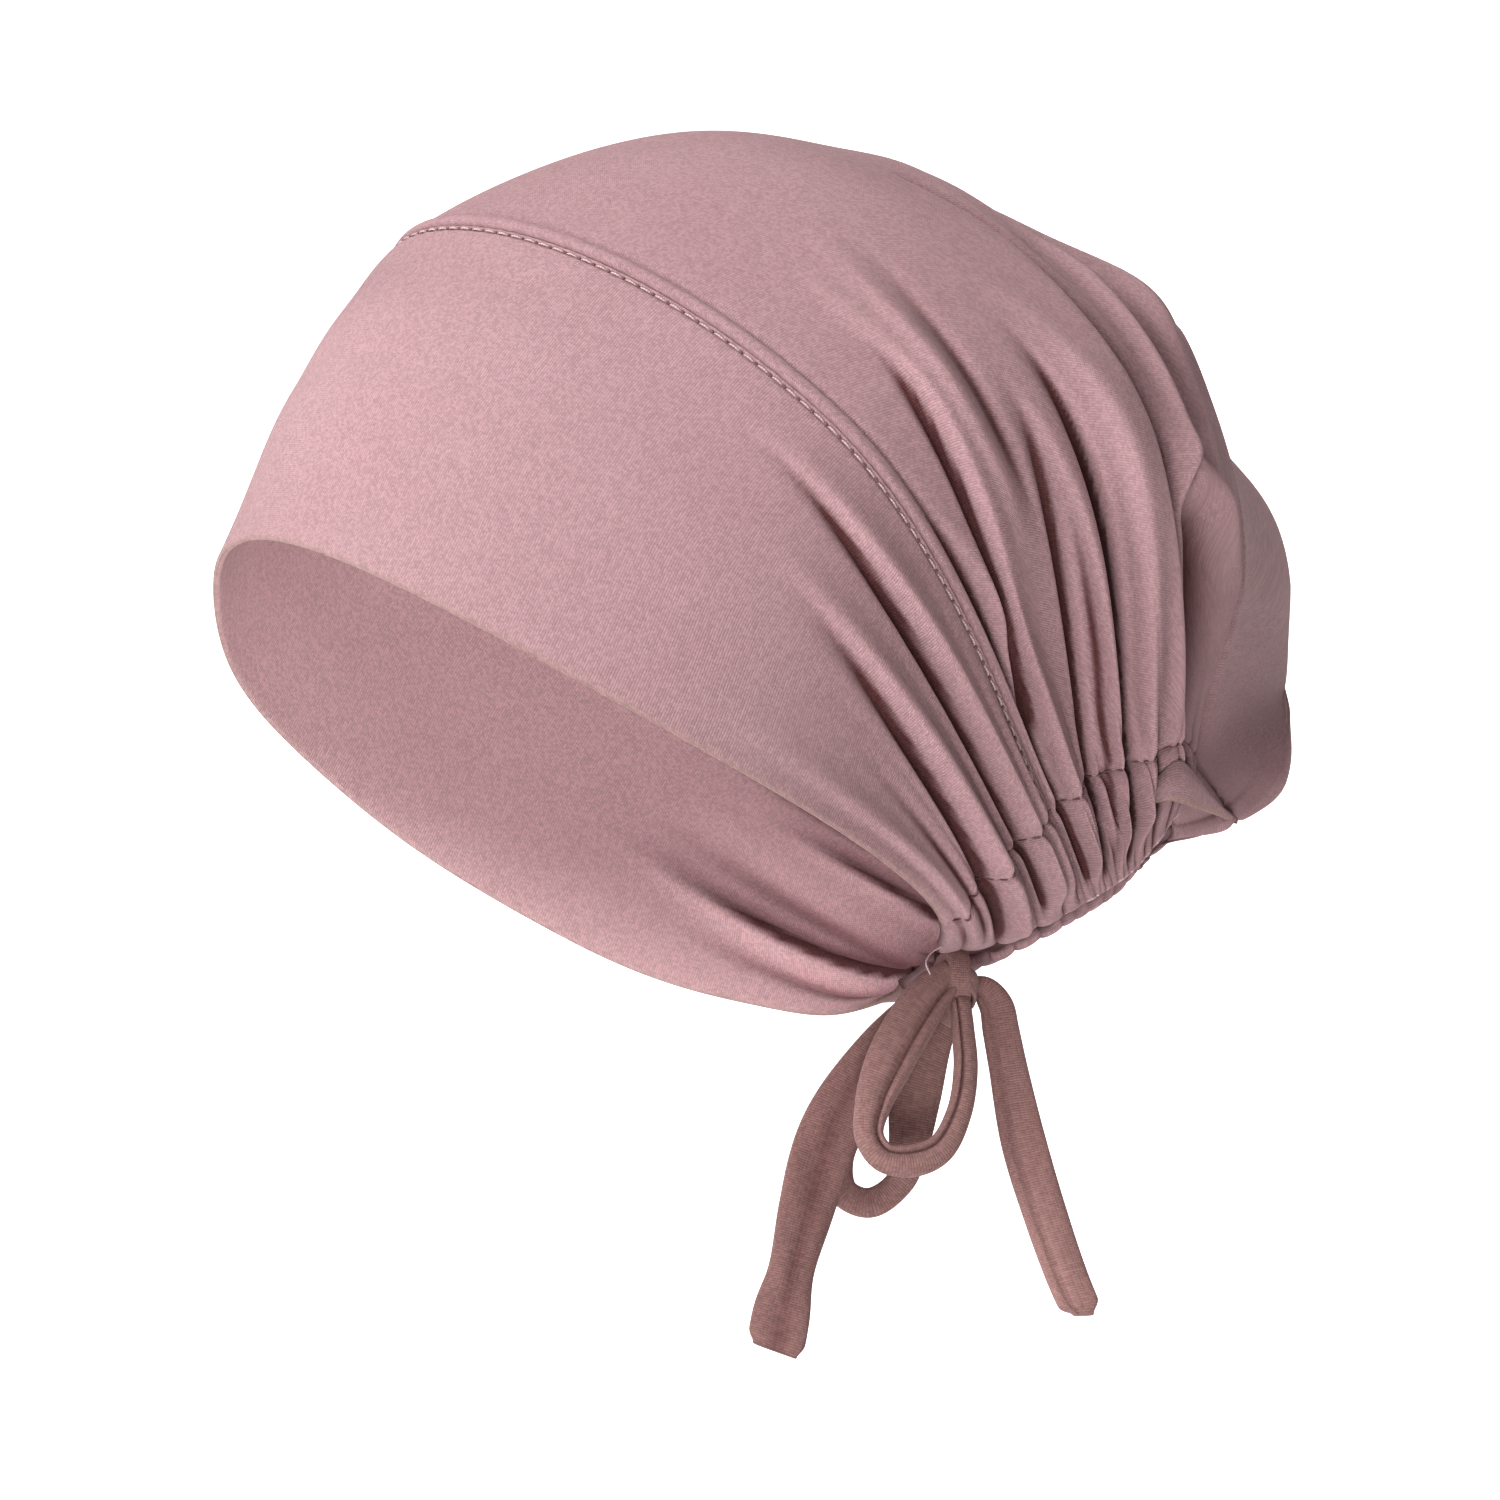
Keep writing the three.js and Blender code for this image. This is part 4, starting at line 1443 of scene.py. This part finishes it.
@dataclass(frozen=True)
class Jersey:
    """A finish of fine knitted jersey, brushed, with a soft sheen."""

    name: str
    base: Colour
    # The inner face's colour, lighter than base on the cap's jerseys as painted light.
    inner: Colour
    edge: Colour = Colour(0.34, 0.235, 0.205)
    # The colour of the painted shade in the folds' valleys.
    valley: Colour = Colour(0.130, 0.050, 0.050)
    wale: float = 0.00064
    course: float = 0.00052
    contrast: float = 0.60
    bump: float = 0.55
    bump_depth: float = 0.00022
    specular: float = 0.22
    sheen: float = 0.20
    sheen_roughness: float = 0.38
    sheen_tint: Colour = Colour(1.0, 0.82, 0.82)

    def material(self, knit: bpy.types.NodeTree, tone: bpy.types.NodeTree) -> bpy.types.Material:
        """Build the material from the shared groups."""
        material, g = new_material(self.name)
        cloth = g.node("ShaderNodeUVMap", uv_map="cloth")
        place = g.node("ShaderNodeTexCoord")
        loops = g.node("ShaderNodeGroup", node_tree=knit)
        g.fill(loops, {"Wale": self.wale, "Course": self.course, "Cloth": cloth.outputs[0]})
        colour = g.node("ShaderNodeGroup", node_tree=tone)
        g.fill(colour, {
            "Base": self.base.rgba(),
            "Inner": self.inner.rgba(),
            "Edge Colour": self.edge.rgba(),
            "Valley Painted Shade": self.valley.rgba(),
            "Contrast": self.contrast,
            "Place": place.outputs["Object"],
            "Shade": loops.outputs["Shade"],
        })
        # fold carries the painted shade and painted highlight of the folds, inside the painted light of
        # the inner face.
        for socket, attribute in (("Fold", "fold"), ("Inside", "inside"), ("Edge", "edge")):
            value = g.node("ShaderNodeAttribute", attribute_name=attribute)
            g.join(value.outputs["Fac"], colour.inputs[socket])
        bump = g.node("ShaderNodeBump")
        g.fill(bump, {
            "Strength": self.bump,
            "Distance": self.bump_depth,
            "Height": loops.outputs["Height"],
        })
        shader = g.node("ShaderNodeBsdfPrincipled")
        g.fill(shader, {
            "Base Color": colour.outputs["Color"],
            "Roughness": colour.outputs["Roughness"],
            "Normal": bump.outputs[0],
            "Specular IOR Level": self.specular,
            "Sheen Weight": self.sheen,
            "Sheen Roughness": self.sheen_roughness,
            "Sheen Tint": self.sheen_tint.rgba(),
        })
        g.surface(shader)
        return material


@dataclass(frozen=True)
class Sewing:
    """A finish of sewing thread, two plies twisted together."""

    name: str
    colour: Colour
    ply: float = 0.0007
    ply_shade: float = 0.18
    ply_roughness: float = 0.08
    value: float = 0.9
    roughness: float = 0.62
    sheen: float = 0.2

    def material(self) -> bpy.types.Material:
        """Build the material: the plies are slanting waves along the thread."""
        material, g = new_material(self.name)
        cloth = g.node("ShaderNodeUVMap", uv_map="cloth")
        place = g.node("ShaderNodeSeparateXYZ")
        g.join(cloth.outputs[0], place.inputs[0])
        turns = g.math("DIVIDE", place.outputs[0], self.ply)
        wave = g.math("SINE", g.math("MULTIPLY", turns, 2 * np.pi))
        shade = g.math("MULTIPLY_ADD", wave, self.ply_shade, self.value)
        roughness = g.math("MULTIPLY_ADD", wave, self.ply_roughness, self.roughness)
        tune = g.node("ShaderNodeHueSaturation")
        g.fill(tune, {"Color": self.colour.rgba(), "Value": shade})
        shader = g.node("ShaderNodeBsdfPrincipled")
        g.fill(shader, {
            "Base Color": tune.outputs[0],
            "Roughness": roughness,
            "Sheen Weight": self.sheen,
        })
        g.surface(shader)
        return material


class SoftLight(NamedTuple):
    """A square soft light: its place and side in metres, and its power in watts."""

    name: str
    place: tuple[float, float, float]
    side: float
    power: float


@dataclass(frozen=True)
class Studio:
    """The photograph's camera, with a pale floor, a pale backdrop and soft lights."""

    azimuth: float = 80.0
    elevation: float = -20.0
    distance: float = 1.6
    frame_width: float = 0.3525
    target: tuple[float, float, float] = (0.0, 0.0164, -0.1483)
    sensor: float = 36.0
    sight: float = 20.0
    floor_z: float = -1.05
    backdrop_far: float = 2.6
    backdrop_high: float = 4.6
    backdrop_half: float = 4.0
    sweep_radius: float = 0.6
    sweep_steps: int = 16
    white: Colour = Colour(0.93, 0.93, 0.93)
    roughness: float = 0.9
    glow: float = 0.8
    lamps: tuple[SoftLight, ...] = (
        SoftLight("key", (1.05, -1.65, 0.85), 0.7, 47.0),
        SoftLight("low_fill", (0.95, -0.25, -0.98), 0.5, 13.0),
        SoftLight("rear_fill", (-1.20, 1.40, 0.45), 1.0, 7.0),
        SoftLight("far_fill", (-1.00, -1.40, 0.40), 1.0, 10.0),
        SoftLight("top", (0.35, -0.20, 1.5), 1.0, 9.0),
    )
    aim: tuple[float, float, float] = (0.0, 0.0, -0.1)
    surround: float = 0.38
    surround_tint: Colour = Colour(1.0, 0.92, 0.91)
    view_gamma: float = 0.84

    def back(self) -> Vector:
        """Direction from the target to the camera."""
        az, el = np.radians(self.azimuth), np.radians(self.elevation)
        return Vector((np.sin(az) * np.cos(el), -np.cos(az) * np.cos(el), np.sin(el)))

    def camera(self) -> bpy.types.Object:
        """The photograph's camera."""
        data = bpy.data.cameras.new("photo_camera")
        data.sensor_width = self.sensor
        data.sensor_fit = "HORIZONTAL"
        data.lens = self.sensor * self.distance / self.frame_width
        data.clip_end = self.sight
        camera = linked("photo_camera", data)
        camera.location = Vector(self.target) + self.back() * self.distance
        camera.rotation_euler = self.back().to_track_quat("Z", "Y").to_euler()
        bpy.context.scene.camera = camera
        return camera

    def plain_white(self) -> bpy.types.Material:
        """The plain pale stage material, which glows for the camera alone."""
        material = bpy.data.materials.new("studio_white")
        material.use_nodes = True
        shader = material.node_tree.nodes["Principled BSDF"]
        shader.inputs["Base Color"].default_value = self.white.rgba()
        shader.inputs["Roughness"].default_value = self.roughness
        shader.inputs["Emission Color"].default_value = (1.0, 1.0, 1.0, 1.0)
        seen = material.node_tree.nodes.new("ShaderNodeLightPath").outputs["Is Camera Ray"]
        strength = material.node_tree.nodes.new("ShaderNodeMath")
        strength.operation = "MULTIPLY"
        strength.inputs[1].default_value = self.glow
        material.node_tree.links.new(seen, strength.inputs[0])
        material.node_tree.links.new(strength.outputs[0], shader.inputs["Emission Strength"])
        return material

    def stage(self) -> list[bpy.types.Object]:
        """A floor that sweeps up into a backdrop on the side away from the camera.

        The profile runs level, follows a quarter circle and climbs straight up.

        Returns:
            The stage objects.
        """
        far, radius = self.backdrop_far, self.sweep_radius
        arc = np.linspace(0, np.pi / 2, self.sweep_steps + 1)
        run = np.concatenate([[-far], far - radius + radius * np.sin(arc), [far]])
        climb = np.concatenate([[0.0], radius * (1 - np.cos(arc)), [self.backdrop_high]])
        back = self.back()
        level = np.array([back.x, back.y]) / np.hypot(back.x, back.y)
        across = np.array([-level[1], level[0]])
        side = np.array([-self.backdrop_half, self.backdrop_half])
        points = np.concatenate([
            (-level * run[:, None])[:, None] + across * side[:, None],
            np.broadcast_to((self.floor_z + climb)[:, None, None], (len(run), 2, 1)),
        ], axis=-1)
        index = np.arange(len(run) * 2).reshape(len(run), 2)
        mesh = bpy.data.meshes.new("studio_sweep")
        mesh.from_pydata(points.reshape(-1, 3).tolist(), [], grid_faces(index).tolist())
        mesh.polygons.foreach_set("use_smooth", np.ones(len(mesh.polygons), bool))
        mesh.materials.append(self.plain_white())
        return [linked("studio_sweep", mesh)]

    def light(self, soft: SoftLight) -> None:
        """Hang one light and turn it to the cap."""
        data = bpy.data.lights.new(soft.name, "AREA")
        data.size = soft.side
        data.energy = soft.power
        lamp = linked(soft.name, data)
        lamp.location = soft.place
        facing = Vector(soft.place) - Vector(self.aim)
        lamp.rotation_euler = facing.to_track_quat("Z", "Y").to_euler()

    def world(self) -> None:
        """A white surround for the camera that lights the cap more softly than it looks."""
        world = bpy.data.worlds.new("studio_world")
        world.use_nodes = True
        g = Graph(world.node_tree)
        seen = g.node("ShaderNodeBackground")
        lit = g.node("ShaderNodeBackground")
        white = Colour(1.0, 1.0, 1.0)
        for shade, tint, strength in ((seen, white, 1.0), (lit, self.surround_tint, self.surround)):
            g.fill(shade, {"Color": tint.rgba(), "Strength": strength})
        mixed = g.node("ShaderNodeMixShader")
        g.join(g.node("ShaderNodeLightPath").outputs["Is Camera Ray"], mixed.inputs[0])
        g.join(lit.outputs[0], mixed.inputs[1])
        g.join(seen.outputs[0], mixed.inputs[2])
        g.join(mixed.outputs[0], g.node("ShaderNodeOutputWorld").inputs["Surface"])
        bpy.context.scene.world = world
        bpy.context.scene.view_settings.view_transform = "Standard"
        bpy.context.scene.view_settings.gamma = self.view_gamma

    def lights(self) -> None:
        """A key from the near side, fills from below and behind and a soft top."""
        for soft in self.lamps:
            self.light(soft)
        self.world()


TIES = (
    Strap(
        name="loop_front_strap",
        route=(
            (6.3, 63.0, -203.0, 7.5, 4.6, 0), (7.6, 57.6, -208.6, 10.2, 5.2, 4),
            (9.2, 52.2, -217.0, 11.4, 5.6, 8), (10.4, 47.0, -227.0, 11.2, 5.6, 8),
            (11.0, 43.2, -237.0, 8.6, 5.4, 6), (11.2, 42.2, -245.0, 6.6, 5.4, 0),
            (11.2, 45.6, -249.8, 6.6, 5.4, 0), (11.2, 52.0, -250.3, 7.4, 5.4, 0),
            (11.0, 58.6, -247.2, 6.8, 5.2, 0), (10.4, 63.4, -238.0, 5.8, 5.0, 4),
            (9.4, 65.3, -227.0, 5.4, 4.8, 8), (8.2, 65.0, -216.8, 5.0, 4.6, 8),
            (6.6, 64.6, -208.0, 4.6, 4.4, 0),
        ),
        rings=170,
        groove=0.75,
        groove_at=-0.42,
        groove_width=0.12,
    ),
    Strap(
        name="loop_rear_strap",
        route=(
            (-4.2, 64.0, -209.5, 6.0, 3.2, 0), (-6.0, 60.6, -217.0, 9.0, 3.2, 0),
            (-8.6, 57.2, -228.0, 12.0, 3.2, 0), (-9.4, 55.6, -240.0, 9.6, 3.4, 0),
            (-10.0, 53.8, -248.6, 6.8, 3.6, 0), (-11.0, 46.6, -254.2, 7.0, 3.6, 0),
            (-11.8, 40.6, -251.8, 7.0, 3.4, 0), (-12.6, 39.0, -244.0, 8.0, 3.4, 0),
            (-13.2, 43.5, -231.6, 9.0, 3.2, 0), (-11.6, 51.4, -219.0, 8.5, 3.2, 0),
            (-8.6, 61.0, -207.0, 6.0, 3.2, 0),
        ),
        rings=150,
    ),
    Strap(
        name="tail_left_strap",
        route=(
            (-0.4, 60.4, -205.8, 8.0, 3.4, 0), (-0.8, 56.2, -209.8, 9.2, 3.4, 6),
            (-1.4, 47.6, -219.2, 10.8, 3.2, 12), (-1.6, 38.4, -233.0, 12.8, 3.2, 8),
            (-1.6, 33.9, -244.6, 14.6, 3.0, -4), (-1.6, 29.6, -260.0, 13.2, 3.4, -10),
            (-1.4, 26.3, -273.8, 10.8, 3.8, -4), (-1.0, 24.0, -284.0, 13.2, 3.2, 4),
            (-0.6, 22.2, -293.4, 13.4, 2.6, 6),
        ),
        rings=160,
        groove=0.35,
        groove_at=-0.1,
        groove_width=0.3,
        slant=-0.9,
        pinch=0.55,
        wave=0.22,
        rounding=0.22,
        # Painted shade: the left tail is darker.
        fade=-0.30,
    ),
    Strap(
        name="tail_right_strap",
        route=(
            (0.4, 67.6, -204.4, 5.0, 3.4, 10), (0.9, 71.6, -204.8, 6.6, 3.6, 10),
            (1.4, 74.4, -208.6, 8.0, 3.6, 10), (1.8, 75.4, -214.6, 8.6, 3.6, 10),
            (2.2, 76.8, -223.2, 9.0, 3.4, 8), (2.6, 80.2, -241.6, 10.6, 3.4, 4),
            (2.8, 85.0, -258.8, 10.4, 3.4, 0), (3.0, 90.2, -274.4, 9.8, 3.6, 0),
            (3.2, 93.6, -282.6, 9.2, 3.8, 0),
        ),
        rings=150,
        groove=0.55,
        groove_at=0.5,
        groove_width=0.10,
        slant=-0.8,
        pinch=0.6,
        wave=0.10,
        rounding=0.5,
        # Painted light: the right tail is lighter.
        fade=1.0,
    ),
)
TIE_NODES = {
    "loop_front_strap": "tie_loop_front",
    "loop_rear_strap": "tie_loop_rear",
    "tail_left_strap": "tie_tail_left",
    "tail_right_strap": "tie_tail_right",
}


def add_piece(piece: bpy.types.Object, slot: str, material: bpy.types.Material, *nodes: str) -> None:
    """Dress a piece, fix it to the cap's body and hide the model's parts that it stands for."""
    piece.data.materials.append(material)
    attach(piece, "root")
    if nodes:
        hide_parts(*nodes)
    LOG.info("made %s with %d faces", piece.name, len(piece.data.polygons))


class Finishes(NamedTuple):
    """The materials of the cap's pieces."""

    band: bpy.types.Material
    bag: bpy.types.Material
    hem: bpy.types.Material
    tie: bpy.types.Material
    pale: bpy.types.Material
    # Dark sewing thread, which also stands as painted shade in the band's needle holes.
    dark_thread_and_hole_shade: bpy.types.Material


def make_finishes() -> Finishes:
    """Build the jerseys, which differ in lightness, and the two sewing threads."""
    knit, tone = knit_group(), tone_group(ToneAmounts())
    mauve = Colour(0.400, 0.263, 0.277)
    # Painted light: the insides are lighter than the outsides, most on the band, less on the crown and
    # least on the casing.
    inside_painted_light = Colour(0.640, 0.436, 0.456)
    # Painted shade: the straps' jersey is darker and browner than the cap's.
    strap_painted_shade = Colour(0.272, 0.164, 0.154)
    return Finishes(
        band=Jersey("band_jersey", mauve, inside_painted_light).material(knit, tone),
        bag=Jersey("crown_jersey", mauve.scaled(0.95), inside_painted_light.scaled(0.8)).material(knit, tone),
        hem=Jersey("casing_jersey", mauve.scaled(0.90), inside_painted_light.scaled(0.6)).material(knit, tone),
        tie=Jersey("strap_jersey", strap_painted_shade, strap_painted_shade, wale=0.0006).material(knit, tone),
        pale=Sewing("pale_thread", Colour(0.60, 0.45, 0.45)).material(),
        # The dark thread also serves as painted shade in the band's needle holes.
        dark_thread_and_hole_shade=Sewing("dark_thread_and_needle_hole_shade", Colour(0.20, 0.10, 0.10)).material(),
    )


def add_ties(tie: bpy.types.Material) -> None:
    """Add the bow: its two loops and two tails as straps, then the knot."""
    for strap in TIES:
        piece = strap.build()
        add_piece(piece, "strap_jersey", tie, TIE_NODES[strap.name])
        tuple(strap.path()[0])
        strap.length()
        strap.diameter()
        strap.path()[::2].tolist() + [strap.path()[-1].tolist()]
    knot = BowKnot()
    add_piece(knot.wrap(), "strap_jersey", tie, "bow_knot")
    add_piece(knot.filling(), "strap_jersey", tie)


def add_cloth(hood: Hood, looks: Finishes) -> None:
    """Add the band, the crown and the casing as sheets of cloth."""
    front = FrontBand(hood).build()
    add_piece(front, "band_jersey", looks.band, "front_band")
    bag_piece = Crown(hood).build()
    add_piece(bag_piece, "crown_jersey", looks.bag, "crown")
    casing = NapeCasing(hood).build()
    add_piece(casing, "casing_jersey", looks.hem, "nape_casing")


def add_stitches(hood: Hood, looks: Finishes) -> None:
    """Add the rows of stitches, the hem flap and the two bare threads."""
    stitching = Stitching(hood)
    seam = stitching.band_seam()
    add_piece(StitchRun("band_topstitch").build(*seam), "band_jersey", looks.pale)
    # Painted shade: short dark threads sit in the needle holes between the topstitches.
    needle_hole_shade = StitchRun("band_needle_hole_shade", length=1.0, offset=3.36, radius=0.46, arch=0.14)
    add_piece(needle_hole_shade.build(*seam), "band_jersey", looks.dark_thread_and_hole_shade)
    for side in Side:
        run = StitchRun(f"casing_stitch_{side.value}", pitch=3.4, length=2.2, radius=0.2)
        add_piece(run.build(*stitching.casing_seam(side)), "casing_jersey", looks.dark_thread_and_hole_shade)
    elastic = Thread("elastic_thread").build(stitching.elastic())
    add_piece(elastic, "casing_jersey", looks.pale)
    add_piece(HemFlap().build(), "casing_jersey", looks.hem)
    tuft = Thread("loose_thread", radius=0.2).build(stitching.loose_end())
    add_piece(tuft, "casing_jersey", looks.pale)


def main() -> None:
    """Build the studio, the ties, the cap and its stitches."""
    logging.basicConfig(level=logging.INFO, format="%(message)s")
    studio = Studio()
    studio.camera()
    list(studio.stage())
    studio.lights()
    looks = make_finishes()
    hood = Hood()
    add_ties(looks.tie)
    add_cloth(hood, looks)
    add_stitches(hood, looks)


if __name__ == "__main__":
    main()
